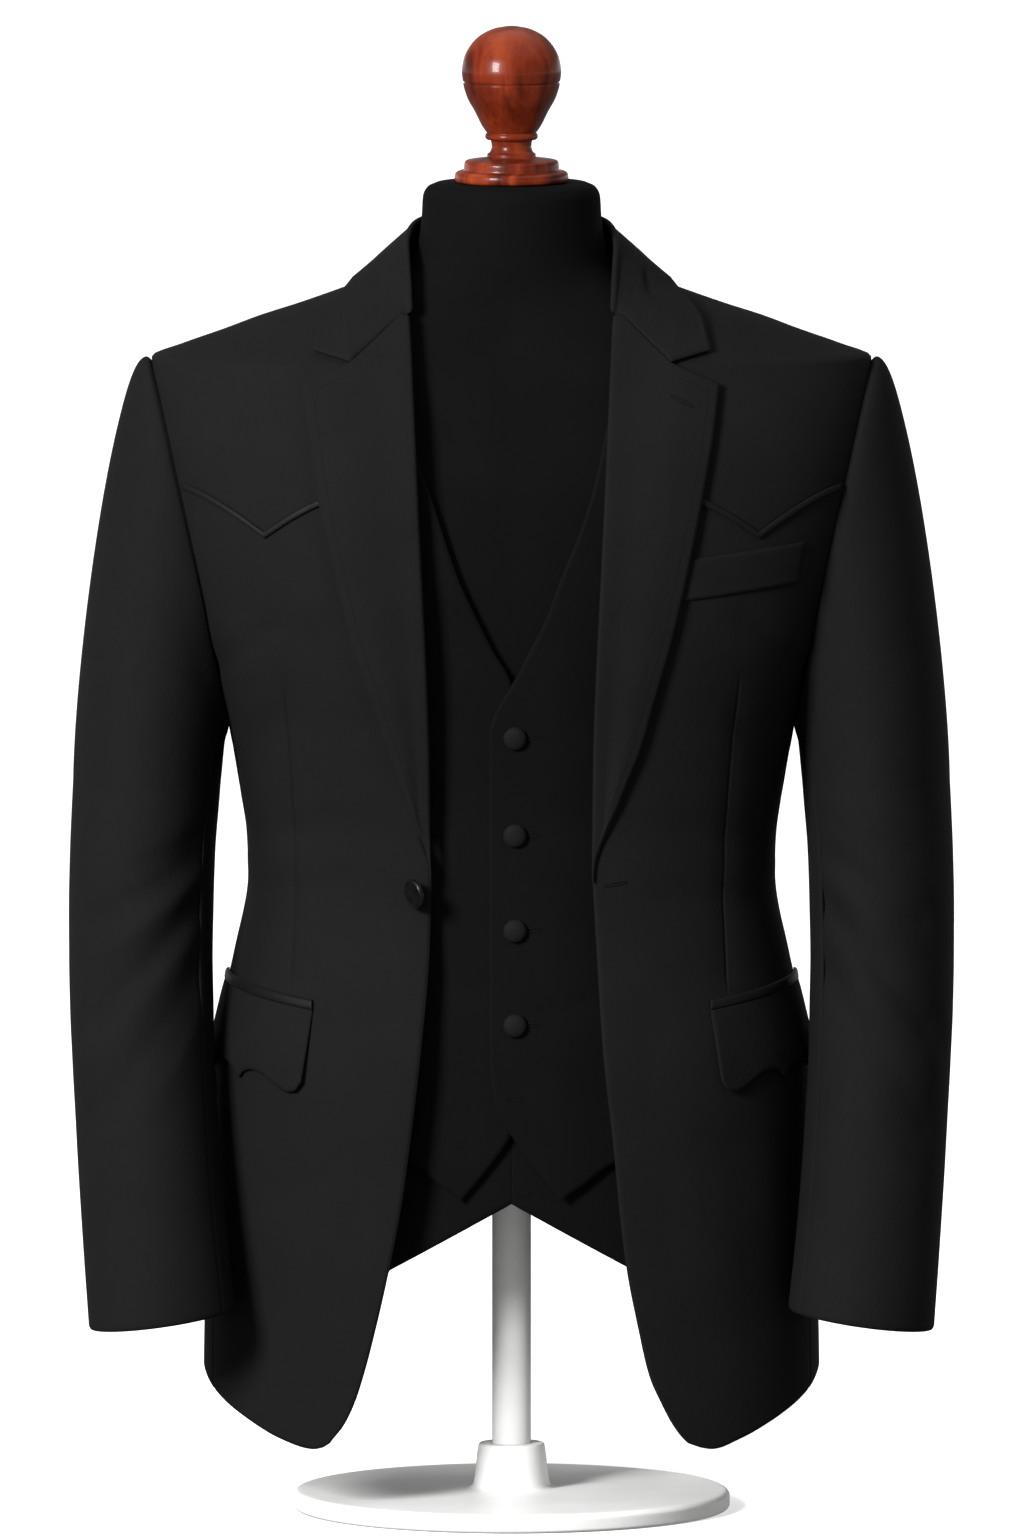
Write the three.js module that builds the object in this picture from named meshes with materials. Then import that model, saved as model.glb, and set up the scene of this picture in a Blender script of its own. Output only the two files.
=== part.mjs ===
// A black western suit on a limbless dress form: jacket with pointed yokes and scalloped pocket flaps, vest and
// trouser tops, with a turned wooden neck cap and ball finial, on a short round stand.
// Millimetres, +Z up, the front faces -Y and the wearer's left is +X. The origin is on the floor under the base.

import * as THREE from "three";

// ---- Driving sizes ----

const JACKET_CLOTH = 1.8; // jacket cloth with its canvas
const LIGHT_CLOTH = 1.4; // vest, trousers and the pieces laid on the jacket
const SEAM = 0.3; // between pieces that are sewn to each other
const LIE = 0.6; // between a panel and what lies on it
const REST = 0.7; // between one garment and what it rests on at the shoulders
const SEAM_ANGLE = 0.0013; // half a seam, as an angle round the body

const ARMHOLE = { middle: 622, height: 117, reach: 60 }; // an oval standing on edge
const ARMPIT = ARMHOLE.middle - ARMHOLE.height;
const ARM_TOP = ARMHOLE.middle + ARMHOLE.height;
const YOKE_TURN = 110.5; // where the yoke's seam meets the armhole, in degrees from its lowest point
const ARM_TURNS = [0, 16, 32, 50, 70, 91, YOKE_TURN, 130, 148, 165, 180]; // half an armhole
const RIDGE_HEIGHTS = [748.5, 758, 769, 781, 794]; // sections over the shoulder, up to the neck

const LAPEL_FOOT = 430; // where the lapel starts to turn over
const LAPEL_BREAK = 12; // the front edge runs in under the lapel over this much
const LAPEL_LIE = 1.25; // between the chest and the lapel near its roll
const LAPEL_TURN = 6; // cloth taken up by the turn at the roll line
const VENT = { top: 315, spread: 0.45 }; // the centre vent: its top, and how far each edge opens for each mm down
const VEST_LAP = { lift: 2, full: 25, gone: 62 }; // the left vest front lies over the right one up to here
const TROUSER_PEAK = 207; // the middle of the trouser tops' lower edge
const TROUSER_SLOPE = 0.556;
const WAIST_TOP = 430;

const SIDES = [
  { name: "r", sign: -1, side: "right" },
  { name: "l", sign: 1, side: "left" },
];

// ---- Materials ----

const finish = (color, roughness, metalness = 0) => new THREE.MeshStandardMaterial({ color, roughness, metalness });
const SUITING = finish(0x1d1d1f, 0.85);
const COVERED_BUTTON = finish(0x19191b, 0.8);
const HORN = finish(0x121213, 0.45);
const FORM_CLOTH = finish(0x101011, 0.9);
const WOOD = finish(0x7a2b12, 0.3);
const STAND_PAINT = finish(0xe8e8e6, 0.5);

// ---- Tables read smoothly between their rows ----

/** A curve through points that never swings past them (monotone cubic); flat beyond its ends. */
function smooth(points) {
  const last = points.length - 1;
  const step = points.slice(1).map((point, i) => point[0] - points[i][0]);
  const rise = step.map((width, i) => (points[i + 1][1] - points[i][1]) / width);
  const slope = points.map((_, i) => {
    if (i === 0) return rise[0];
    if (i === last) return rise[last - 1];
    if (rise[i - 1] * rise[i] <= 0) return 0;
    const before = 2 * step[i] + step[i - 1];
    const after = step[i] + 2 * step[i - 1];
    return (before + after) / (before / rise[i - 1] + after / rise[i]);
  });
  return (x) => {
    if (x <= points[0][0]) return points[0][1];
    if (x >= points[last][0]) return points[last][1];
    const i = points.findIndex((point) => point[0] > x) - 1;
    const t = (x - points[i][0]) / step[i];
    const back = 1 - t;
    return (
      points[i][1] * (1 + 2 * t) * back * back +
      points[i + 1][1] * t * t * (3 - 2 * t) +
      step[i] * t * back * (slope[i] * back - slope[i + 1] * t)
    );
  };
}

/** Named columns, each a smooth function of the first one. */
function table(columns, rows) {
  const names = columns.split(" ").slice(1);
  return Object.fromEntries(names.map((name, k) => [name, smooth(rows.map((row) => [row[0], row[k + 1]]))]));
}

const lerp = THREE.MathUtils.lerp;
const ease = THREE.MathUtils.smoothstep;
const radians = THREE.MathUtils.degToRad;
const steps = (count) => Array.from({ length: count + 1 }, (_, i) => i / count);

// ---- Bodies: level sections, each half a rounded box in front and half behind ----

const SHOULDER_ROWS = [
  [741, 230, 94, 95, 2.2],
  [748.5, 212, 88, 89, 2.2],
  [758, 185, 82, 83, 2.2],
  [767, 161, 76.5, 77.5, 2.2],
  [774, 139, 72, 73, 2.2],
  [787, 102, 66, 67, 2.2],
  [797, 75, 62, 63, 2.1],
  [812, 62, 60, 61, 2],
];

/** The shoulder rows of a garment worn `under` mm below the jacket's outside. */
const shouldersUnder = (under, slack = 0) =>
  SHOULDER_ROWS.map(([height, half, front, back, round]) => {
    const inward = 1.2 * under + slack;
    return [height - under, half, front - inward, back - inward, round];
  });

const VEST_UNDER = JACKET_CLOTH + REST;
const FORM_UNDER = VEST_UNDER + LIGHT_CLOTH + 2 * REST;
const FORM_SLACK = 4.6; // how much slimmer the form's shoulders are than the vest's inside

const JACKET = table("height half front back round", [
  [40, 198, 128, 126, 2.4],
  [118, 197, 128, 126, 2.4],
  [200, 193.5, 127, 126, 2.45],
  [294, 190, 125, 124, 2.45],
  [326, 185, 121, 119, 2.45],
  [358, 178, 116, 111, 2.45],
  [409, 169, 110, 99, 2.5],
  [438, 170, 110, 98, 2.5],
  [470, 175, 113, 102, 2.5],
  [505, 181, 118, 108, 2.5],
  [560, 190, 125, 116, 2.5],
  [600, 197, 126.6, 120, 2.5],
  [640, 206, 125.2, 122, 2.5],
  [675, 214, 120, 120, 2.45],
  [705, 221, 111, 113.5, 2.4],
  [723, 226, 103.4, 105.5, 2.3],
  ...SHOULDER_ROWS,
]);
const VEST = table("height half front back round", [
  [170, 172, 106, 109, 2.4],
  [300, 170, 104, 106.5, 2.4],
  [350, 160, 101, 97, 2.4],
  [409, 151, 99, 87, 2.4],
  [440, 150.5, 99, 87, 2.4],
  [505, 160, 104, 95, 2.4],
  [560, 172, 110, 104, 2.4],
  [622, 186, 115, 111, 2.4],
  [660, 200, 113, 112, 2.4],
  [700, 215, 104, 107, 2.3],
  [723, 222, 96, 99, 2.2],
  ...shouldersUnder(VEST_UNDER),
]);
const TROUSERS = table("height half front back round", [
  [110, 166, 102, 106, 2.4],
  [300, 163.5, 97.5, 102, 2.4],
  [350, 153.5, 94.5, 91.5, 2.4],
  [409, 143.2, 93.2, 83.2, 2.4],
  [430, 142.9, 92.2, 82.2, 2.4],
]);
const FORM = table("height half front back round", [
  [222, 158, 91, 97, 2.4],
  [236, 161, 94, 99, 2.4],
  [300, 160, 94, 98, 2.4],
  [350, 150, 91, 88, 2.4],
  [409, 140, 90, 80, 2.4],
  [440, 141, 90, 80, 2.4],
  [505, 152, 96, 90, 2.3],
  [560, 163, 103, 99, 2.3],
  [622, 176, 108, 106, 2.3],
  [660, 188, 106, 107, 2.2],
  [700, 203, 96, 100, 2.2],
  [722, 209, 88, 92, 2.2],
  [735, 206, 83, 85, 2.2],
  ...shouldersUnder(FORM_UNDER, FORM_SLACK)
    .slice(1, 5)
    .map(([height, half, ...depths]) => [height, Math.min(half, 202), ...depths]),
  [781.7, 102, 57.8, 58, 2.2],
  [791.7, 75, 57.8, 58.2, 2.1],
  [803, 63, 58, 58.6, 2],
  [812, 60, 57.5, 58, 2],
  [830, 57.5, 57, 57, 2],
  [844, 56.6, 56.6, 56.6, 2],
  [850, 53.5, 53.5, 53.5, 2],
  [852.5, 48, 48, 48, 2],
]);
const FORM_HEIGHTS = [
  222, 236, 270, 310, 350, 390, 430, 470, 520, 575, 630, 675, 705, 725, 736, 743.4, 753, 762, 769, 782, 792, 803, 830,
  844, 850, 852.5,
];

/** The armhole seam: how far out it stands at each height. */
const armholeOut = smooth([
  [505, 181], [514, 182], [537, 186], [564, 191.5], [590, 196], [623, 203], [670, 213.5], [714, 223.5], [739, 230],
]);

/** Half the armhole's width at a height, 0 above and below it. */
function armholeReach(height) {
  const off = (height - ARMHOLE.middle) / ARMHOLE.height;
  return Math.abs(off) < 1 ? ARMHOLE.reach * Math.sqrt(1 - off * off) : 0;
}

/** Beside the armhole the jacket's section is as wide as takes it through the armhole seam. */
const jacketTable = { ...JACKET };
JACKET.half = (height, depth) => {
  if (height <= ARMPIT || height >= ARM_TOP) return jacketTable.half(height);
  const round = JACKET.round(height);
  return armholeOut(height) / (1 - (armholeReach(height) / depth) ** round) ** (1 / round);
};

function sectionOf(body, height, front) {
  const depth = front ? body.front(height) : body.back(height);
  return { depth, half: body.half(height, depth), round: body.round(height) };
}

/** A point on a body: angle 0 is the front middle, a quarter turn the wearer's left, half a turn the back middle. */
function onBody(body, angle, height) {
  const across = Math.sin(angle);
  const along = Math.cos(angle);
  const { depth, half, round } = sectionOf(body, height, along > 0);
  return new THREE.Vector3(
    half * Math.sign(across) * Math.abs(across) ** (2 / round),
    -depth * Math.sign(along) * Math.abs(along) ** (2 / round),
    height,
  );
}

/** The same, lifted off the surface along its normal. */
function lay(body, angle, height, lift) {
  const turn = 0.01;
  const rise = 0.5;
  const round = onBody(body, angle + turn, height).sub(onBody(body, angle - turn, height));
  const up = onBody(body, angle, height + rise).sub(onBody(body, angle, height - rise));
  const point = onBody(body, angle, height);
  const normal = round.cross(up).normalize();
  return point.addScaledVector(normal, lift);
}

/** The angle at which a body's front (or back) stands x to the side. */
function angleAt(body, x, height, front = true) {
  const { half, round } = sectionOf(body, height, front);
  const angle = Math.asin(Math.min(1, Math.abs(x) / half) ** (round / 2)) * Math.sign(x);
  return front ? angle : Math.PI - angle;
}

/** The angle reached by walking some mm round a body at one height. */
function walk(body, from, height, distance) {
  const stride = 0.002;
  let angle = from;
  let gone = 0;
  while (gone < distance) {
    gone += onBody(body, angle, height).distanceTo(onBody(body, angle + stride, height));
    angle += stride;
  }
  return angle;
}

// ---- Solids ----

/** A closed solid from points and faces, turned so that its faces point out. */
function solid(points, faces) {
  let volume = 0;
  for (let i = 0; i < faces.length; i += 3) {
    const [a, b, c] = [faces[i], faces[i + 1], faces[i + 2]].map((k) => points[k]);
    volume += a.dot(b.clone().cross(c));
  }
  const geometry = new THREE.BufferGeometry();
  geometry.setAttribute("position", new THREE.Float32BufferAttribute(points.flatMap((p) => p.toArray()), 3));
  geometry.setIndex(volume < 0 ? faces.slice().reverse() : faces);
  geometry.computeVertexNormals();
  return geometry;
}

/** A wall of cloth between two grids of points, closed round its edge; sign -1 mirrors it to the wearer's right. */
function wall(outer, inner, sign = 1) {
  const rows = outer.length;
  const columns = outer[0].length;
  const points = [...outer.flat(), ...inner.flat()].map((p) => new THREE.Vector3(p.x * sign, p.y, p.z));
  const at = (skin, r, c) => (skin * rows + r) * columns + c;
  const faces = [];
  const quad = (a, b, c, d) => faces.push(a, b, c, a, c, d);
  for (let r = 0; r + 1 < rows; r += 1) {
    for (let c = 0; c + 1 < columns; c += 1) {
      quad(at(0, r, c), at(0, r, c + 1), at(0, r + 1, c + 1), at(0, r + 1, c));
      quad(at(1, r, c), at(1, r + 1, c), at(1, r + 1, c + 1), at(1, r, c + 1));
    }
    const end = columns - 1;
    quad(at(0, r, 0), at(0, r + 1, 0), at(1, r + 1, 0), at(1, r, 0));
    quad(at(0, r + 1, end), at(0, r, end), at(1, r, end), at(1, r + 1, end));
  }
  for (let c = 0; c + 1 < columns; c += 1) {
    const top = rows - 1;
    quad(at(0, 0, c + 1), at(0, 0, c), at(1, 0, c), at(1, 0, c + 1));
    quad(at(0, top, c), at(0, top, c + 1), at(1, top, c + 1), at(1, top, c));
  }
  return solid(points, faces);
}

/** A wall given by a place for each row and column: place(row, column) is [body, angle, height, lift of its outside]. */
function laid(rows, columns, thickness, sign, place) {
  const grid = (inward) =>
    rows.map((row) =>
      columns.map((column) => {
        const [body, angle, height, lift] = place(row, column);
        return lay(body, angle, height, lift - inward);
      }),
    );
  return wall(grid(0), grid(thickness), sign);
}

/** A sheet of points given its thickness, half to each side. */
function thickened(grid, thickness, sign = 1) {
  const rows = grid.length - 1;
  const columns = grid[0].length - 1;
  const shifted = (offset) =>
    grid.map((line, r) =>
      line.map((point, c) => {
        const along = grid[Math.min(r + 1, rows)][c].clone().sub(grid[Math.max(r - 1, 0)][c]);
        const across = line[Math.min(c + 1, columns)].clone().sub(line[Math.max(c - 1, 0)]);
        return point.clone().addScaledVector(along.cross(across).normalize(), offset);
      }),
    );
  return wall(shifted(thickness / 2), shifted(-thickness / 2), sign);
}

/** A closed stack of rings. */
function stacked(rings) {
  const count = rings[0].length;
  const middle = (ring) => ring.reduce((sum, p) => sum.add(p), new THREE.Vector3()).divideScalar(count);
  const points = [...rings.flat(), middle(rings[0]), middle(rings.at(-1))];
  const faces = [];
  const at = (r, k) => r * count + (k % count);
  for (let k = 0; k < count; k += 1) {
    for (let r = 0; r + 1 < rings.length; r += 1) {
      faces.push(at(r, k), at(r, k + 1), at(r + 1, k + 1), at(r, k), at(r + 1, k + 1), at(r + 1, k));
    }
    faces.push(points.length - 2, at(0, k + 1), at(0, k));
    faces.push(points.length - 1, at(rings.length - 1, k), at(rings.length - 1, k + 1));
  }
  return solid(points, faces);
}

/** A turned piece standing on the Z axis, from [radius, height] pairs. */
function turned(profile, segments) {
  const geometry = new THREE.LatheGeometry(profile.map(([r, z]) => new THREE.Vector2(r, z)), segments);
  geometry.rotateX(Math.PI / 2);
  return geometry;
}

const suit = new THREE.Group();

function add(name, geometry, material) {
  const mesh = new THREE.Mesh(geometry, material);
  mesh.name = name;
  suit.add(mesh);
  return mesh;
}

// ---- Jacket ----

const rollLine = smooth([[423, 51], [500, 52], [545, 53.5], [597, 56], [648, 58.5], [725, 62], [765, 64], [790, 66]]);
const FRONT_EDGE = table("height right left", [
  [50, 119, 121],
  [56, 115.5, 112],
  [66, 107.8, 104],
  [82, 100.2, 95.5],
  [98, 95, 88.5],
  [130, 86.7, 81],
  [167, 78.4, 73.8],
  [211, 70.1, 68.5],
  [243, 65.6, 65.6],
  [307, 58, 58.6],
  [372, 52.4, 54.4],
  [423, 51, 51.4],
]);
const LAPEL_EDGE = table("height right left", [
  [430, 57.5, 57.5],
  [448, 60, 60.5],
  [467, 66, 68],
  [481, 71.4, 74],
  [500, 78.5, 81.5],
  [532, 89.3, 90.4],
  [571, 102, 101.5],
  [622, 114.2, 113],
  [660, 122.6, 120.6],
  [704, 129, 128.3],
  [730, 133.4, 131.5],
]);
/** The yoke's seam by distance from the middle: a curved V with its point over the chest. */
const yokeSeam = (x) => (x < YOKE_POINT.x ? yokeInner(x) : yokeOuter(x));
const YOKE_POINT = { x: 157, height: 634.5 };
const yokeInner = smooth([[60, 669], [100, 663], [121, 656.5], [138, 647.5], [157, 634.5]]);
const yokeOuter = smooth([[157, 634.5], [175, 646.5], [190, 655], [200, 659.5], [212, 663]]);
const YOKE_SIDE = ARMHOLE.middle - ARMHOLE.height * Math.cos(radians(YOKE_TURN));
const PANEL_COLUMNS = [0, 0.13, 0.26, 0.39, 0.52, 0.64, 0.76, 0.88, 1]; // the fifth runs through the yoke's point
const frontHem = smooth([
  [0, 54.8], [0.03, 51.7], [0.08, 50.5], [0.15, 51.3], [0.2, 52.5], [0.3, 55.4], [0.4, 58.6], [0.49, 62], [0.6, 66.3],
  [0.7, 70.3], [0.8, 74.2], [0.9, 78.2], [1, 82],
]);
const backHem = smooth([[0, 97], [0.6, 96], [0.85, 91], [1, 82]]);

/** The side seam starts a little in front of the side at the hem and ends at the armhole's lowest point. */
const sideSeam = (height) => radians(lerp(74, 90, ease(height, 100, ARMPIT)));

/** The angle at which the jacket's front (or back) ends: at its side seam, its armhole or the shoulder seam. */
function outerAngle(height, front) {
  if (height <= ARMPIT) return sideSeam(height) + (front ? -SEAM_ANGLE : SEAM_ANGLE);
  const reach = armholeReach(height);
  const angle = reach > 0 ? angleAt(JACKET, armholeOut(height), height, front) : Math.PI / 2;
  if (front) return Math.min(angle, Math.PI / 2 - SEAM_ANGLE);
  return Math.max(angle, Math.PI / 2 + SEAM_ANGLE);
}

/** How far from the middle the front panel's inner edge stands. */
function innerEdge(side, height) {
  const open = FRONT_EDGE[side](height);
  const turned = rollLine(height) + LAPEL_TURN;
  return lerp(open, turned, THREE.MathUtils.clamp(1 + (height - LAPEL_FOOT) / LAPEL_BREAK, 0, 1));
}

const frontAngle = (side, u, height) =>
  lerp(angleAt(JACKET, innerEdge(side, height), height), outerAngle(height, true), u);

/** The yoke seam's height at a column of the front panel. */
function yokeHeight(side, u) {
  const level = 650;
  return yokeSeam(onBody(JACKET, frontAngle(side, u, level), level).x);
}

const armHeight = (turn) => ARMHOLE.middle - ARMHOLE.height * Math.cos(radians(turn));

function jacketFront(side) {
  const skirt = [
    ...steps(9).map((t) => (u) => lerp(frontHem(u), LAPEL_FOOT - LAPEL_BREAK, t)),
    ...[0, 0.5, 1].map((t) => () => lerp(LAPEL_FOOT, ARMPIT, t)),
  ];
  const chest = ARM_TURNS.filter((turn) => turn > 0 && turn <= YOKE_TURN).map((turn) => {
    const share = (armHeight(turn) - ARMPIT) / (YOKE_SIDE - ARMPIT);
    return (u) => lerp(ARMPIT, yokeHeight(side.side, u) - SEAM / 2, share);
  });
  return laid([...skirt, ...chest], PANEL_COLUMNS, JACKET_CLOTH, side.sign, (row, u) => {
    const height = row(u);
    return [JACKET, frontAngle(side.side, u, height), height, 0];
  });
}

function jacketYoke(side) {
  const over = ARM_TURNS.filter((turn) => turn >= YOKE_TURN).map((turn) => {
    const share = (armHeight(turn) - YOKE_SIDE) / (ARM_TOP - YOKE_SIDE);
    return (u) => lerp(yokeHeight(side.side, u) + SEAM / 2, ARM_TOP, share);
  });
  const ridge = RIDGE_HEIGHTS.map((height) => () => height);
  return laid([...over, ...ridge], PANEL_COLUMNS, JACKET_CLOTH, side.sign, (row, u) => {
    const height = row(u);
    return [JACKET, frontAngle(side.side, u, height), height, 0];
  });
}

/** The back's middle edge: the centre seam, and below the vent's top the vent's edge. */
const ventEdge = (height) => Math.max(SEAM / 2, (VENT.top - height) * VENT.spread);

function jacketBack(side) {
  const skirt = steps(11).map((t) => (u) => lerp(backHem(u), ARMPIT, t));
  const chest = ARM_TURNS.slice(1).map((turn) => () => armHeight(turn));
  const ridge = RIDGE_HEIGHTS.map((height) => () => height);
  return laid([...skirt, ...chest, ...ridge], steps(7), JACKET_CLOTH, side.sign, (row, u) => {
    const height = row(u);
    const middle = angleAt(JACKET, ventEdge(height), height, false);
    return [JACKET, lerp(middle, outerAngle(height, false), u), height, 0];
  });
}

/** A turn of cloth round an edge: [distance out from the fold, lift] at a radius round its middle. */
const TURN_RADIUS = JACKET_CLOTH + LAPEL_LIE / 2;
const TURN_LIFT = LAPEL_LIE / 2;
const turnAt = (degrees, radius) => [
  TURN_RADIUS + radius * Math.cos(radians(degrees)),
  TURN_LIFT + radius * Math.sin(radians(degrees)),
];

const NOTCH = { share: 0.5, height: 742.5 };
const GORGE = { top: 771, tip: 728.8 };
const LAPEL_ROWS = [0, 0.11, 0.22, 0.33, 0.44, 0.55, 0.65, 0.74, 0.82, 0.89, 0.95, 1];
const LAPEL_PROUD = 2.6; // how far the lapel stands off the chest at its outer edge
const lapelLift = (u) => LAPEL_LIE + LAPEL_PROUD * ease(u, 0.1, 0.7);

/** The height of the lapel's upper edge: the gorge seam down to the notch, then the lapel's own top edge. */
function gorgeHeight(u) {
  return u < NOTCH.share
    ? lerp(GORGE.top, NOTCH.height, u / NOTCH.share)
    : lerp(NOTCH.height, GORGE.tip, (u - NOTCH.share) / (1 - NOTCH.share));
}

function lapel(side) {
  const width = (v) => {
    const edge = lerp(LAPEL_FOOT + 3, GORGE.tip, v);
    return LAPEL_EDGE[side.side](edge) - rollLine(lerp(LAPEL_FOOT, GORGE.top, v));
  };
  const height = (u, v) => {
    const straight = lerp(lerp(LAPEL_FOOT + 0.5, GORGE.top, v), lerp(LAPEL_FOOT + 3, GORGE.tip, v), u);
    const bend = gorgeHeight(u) - lerp(GORGE.top, GORGE.tip, u);
    return straight + bend * v ** 4;
  };
  const place = (v, u, out, lift) => {
    const z = height(u, v);
    const x = rollLine(height(0, v)) + out;
    return lay(JACKET, angleAt(JACKET, x, z), z, lift);
  };
  const flat = [1, 0.83, 0.66, NOTCH.share, 0.33, 0.16, 0];
  const turn = [90, 135, 180, 225, 270];
  const skin = (outside) => {
    const thick = outside ? JACKET_CLOTH : 0;
    const radius = outside ? TURN_RADIUS : LAPEL_LIE / 2;
    return LAPEL_ROWS.map((v) => [
      ...flat.map((u) => place(v, u, lerp(LAPEL_TURN, width(v), u), lapelLift(u) + thick)),
      ...turn.map((degrees) => place(v, 0, ...turnAt(degrees, radius))),
      place(v, 0, LAPEL_TURN - SEAM, outside ? -JACKET_CLOTH : 0),
    ]);
  };
  return wall(skin(true), skin(false), side.sign);
}

// Stations from the gorge round to the back middle. Foot: where the stand meets the neck edge, as an angle and height
// on the jacket. Fold: the top of the collar. Edge: the leaf's outer edge, as an angle, height and lift.
const COLLAR = [
  { foot: [26.9, 773.5], fold: [63.5, -66.5, 775.6], edge: [34.7, 749.2, 4.5], sink: 1 },
  { foot: [36, 783], fold: [64.5, -59, 789], edge: [47, 767, 3.8], sink: 0.5 },
  { foot: [48, 791], fold: [66, -42, 804], edge: [62, 778.5, 3], sink: 0.2 },
  { foot: [72, 796.3], fold: [66.5, -22, 815], edge: [78, 785, 2.4], sink: 0 },
  { foot: [90, 796.5], fold: [65, 0, 821.5], edge: [92, 787, 2.8], sink: 0 },
  { foot: [112, 796.5], fold: [61, 22, 826], edge: [112, 784.5, 2.8], sink: 0 },
  { foot: [133, 796.5], fold: [48, 43, 829.5], edge: [134, 779, 2.8], sink: 0 },
  { foot: [155, 796.5], fold: [27, 58, 832], edge: [157, 774.5, 2.8], sink: 0 },
  { foot: [180, 796.5], fold: [0, 63, 833], edge: [180, 773, 2.8], sink: 0 },
];

/** Across the leaf, from its fold to its edge: the share of the way, and how far the gorge seam dips there. */
const LEAF = [[0.3, 4.1], [0.62, 15.6], [0.81, 7.8], [1, 0]];

/**
 * Moves a point out of the jacket's shoulders until it lies at least `lift` off them: forwards or backwards where
 * `outward` is 0, and away from the neck where it is 1.
 */
function clearOfJacket(point, lift, outward) {
  if (point.z > 796) return point;
  const { depth, half, round } = sectionOf(JACKET, point.z, point.y < 0);
  const size = ((Math.abs(point.x) / half) ** round + (Math.abs(point.y) / depth) ** round) ** (1 / round);
  const side = angleAt(JACKET, point.x / size ** outward, point.z, point.y < 0);
  const surface = lay(JACKET, side, point.z, 0);
  const lifted = lay(JACKET, side, point.z, lift);
  const off = point.clone().sub(surface).dot(lifted.clone().sub(surface)) / lift;
  return off < lift ? lifted : point;
}

function collarLine(station) {
  const on = ([degrees, height, lift = 0]) => lay(JACKET, radians(degrees), height, lift);
  const foot = on([...station.foot, -JACKET_CLOTH / 2]);
  const edge = on(station.edge);
  const fold = new THREE.Vector3(...station.fold);
  const up = fold.clone().sub(foot).normalize();
  const out = edge.clone().sub(fold);
  out.addScaledVector(up, -out.dot(up)).normalize();
  const turn = JACKET_CLOTH / 2 + 0.5;
  const at = (down, aside) => fold.clone().addScaledVector(up, -down).addScaledVector(out, aside);
  const start = at(3.6, turn);
  const leaf = LEAF.map(([share, dip]) => {
    const point = start.clone().lerp(edge, share);
    point.z -= station.sink * dip;
    return share < 1 ? clearOfJacket(point, lerp(2.8, station.edge[2], share), 1 - station.sink) : point;
  });
  const stand = [0, 0.5].map((share) => foot.clone().lerp(at(3.6, -turn), share));
  return [...stand, at(3.6, -turn), at(0.9, -turn * 0.75), at(0, 0), at(0.9, turn * 0.75), start, ...leaf];
}

function collar() {
  const half = COLLAR.map(collarLine);
  const mirror = (line) => line.map((p) => new THREE.Vector3(-p.x, p.y, p.z));
  return thickened([...half.map(mirror), ...half.slice(0, -1).reverse()], JACKET_CLOTH);
}

/** A raised strip or patch on the jacket's front, from [x, height] places and the lift of its outside. */
function onFront(rows, columns, thickness, sign, place) {
  return laid(rows, columns, thickness, sign, (row, column) => {
    const [x, height, lift] = place(row, column);
    return [JACKET, angleAt(JACKET, x, height), height, lift];
  });
}

const PIPING = { width: 4, thick: 1.2, crown: 0.5 };

function yokePiping(side) {
  const stations = [112, 121, 130, 139, 148, 157, 166, 175, 184, 193, 202, 209];
  return onFront([0, 0.5, 1], stations, PIPING.thick, side.sign, (share, x) => {
    const crown = share === 0.5 ? PIPING.crown : 0;
    return [x, yokeSeam(x) + PIPING.width * (share - 0.25), LIE + PIPING.thick + crown];
  });
}

const WELT = { inner: 103, outer: 186, slope: 0.118, top: 620, height: 25.5, lean: 4 };

function breastWelt() {
  return onFront([0, 0.5, 1], steps(7), LIGHT_CLOTH, 1, (down, u) => {
    const x = lerp(WELT.inner, WELT.outer, u) - WELT.lean * down;
    return [x, WELT.top + WELT.slope * (x - WELT.inner) - WELT.height * down, LIE + LIGHT_CLOTH];
  });
}

const POCKET = { from: 126.5, length: 120, height: 337.5, jet: 6.5 };
const POCKET_RISE = smooth([[0, 0], [40, 5.2], [75, 9.2], [100, 10.2], [120, 10.2]]);
const FLAP_LEAN = 6.5; // how far each end of the flap leans in towards its lower edge
const FLAP_STATIONS = [0, 6, 13, 24, 34, 44, 53, 60, 67, 76, 86, 96, 107, 114, 120];
const FLAP_DROPS = [46, 52.5, 54, 50.8, 46.8, 45.6, 48, 53, 48, 45.6, 46.8, 50.8, 54, 52.5, 46];
const flapDrop = smooth(FLAP_STATIONS.map((along, i) => [along, FLAP_DROPS[i]]));

/** A place on the hip, some mm round from the pocket's front end and some mm down from its top line. */
function hipPlace(along, down, lift) {
  const height = POCKET.height + POCKET_RISE(along) - down;
  const from = angleAt(JACKET, POCKET.from, height);
  return [JACKET, walk(JACKET, from, height, along), height, lift];
}

function pocketJet(side) {
  return laid([0, 0.5, 1], steps(9), LIGHT_CLOTH, side.sign, (share, u) =>
    hipPlace(u * POCKET.length, share * POCKET.jet, LIE + LIGHT_CLOTH + (share === 0.5 ? 0.4 : 0)),
  );
}

function pocketFlap(side) {
  return laid([0, 0.33, 0.67, 1], FLAP_STATIONS, LIGHT_CLOTH, side.sign, (share, along) => {
    const down = POCKET.jet + SEAM + share * flapDrop(along);
    const lean = FLAP_LEAN * share * (1 - (2 * along) / POCKET.length);
    return hipPlace(along + lean, down, LIE + LIGHT_CLOTH + 1.2 * share);
  });
}

// ---- Sleeves: from the armhole over the head to level sections down to the cuff ----

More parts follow.
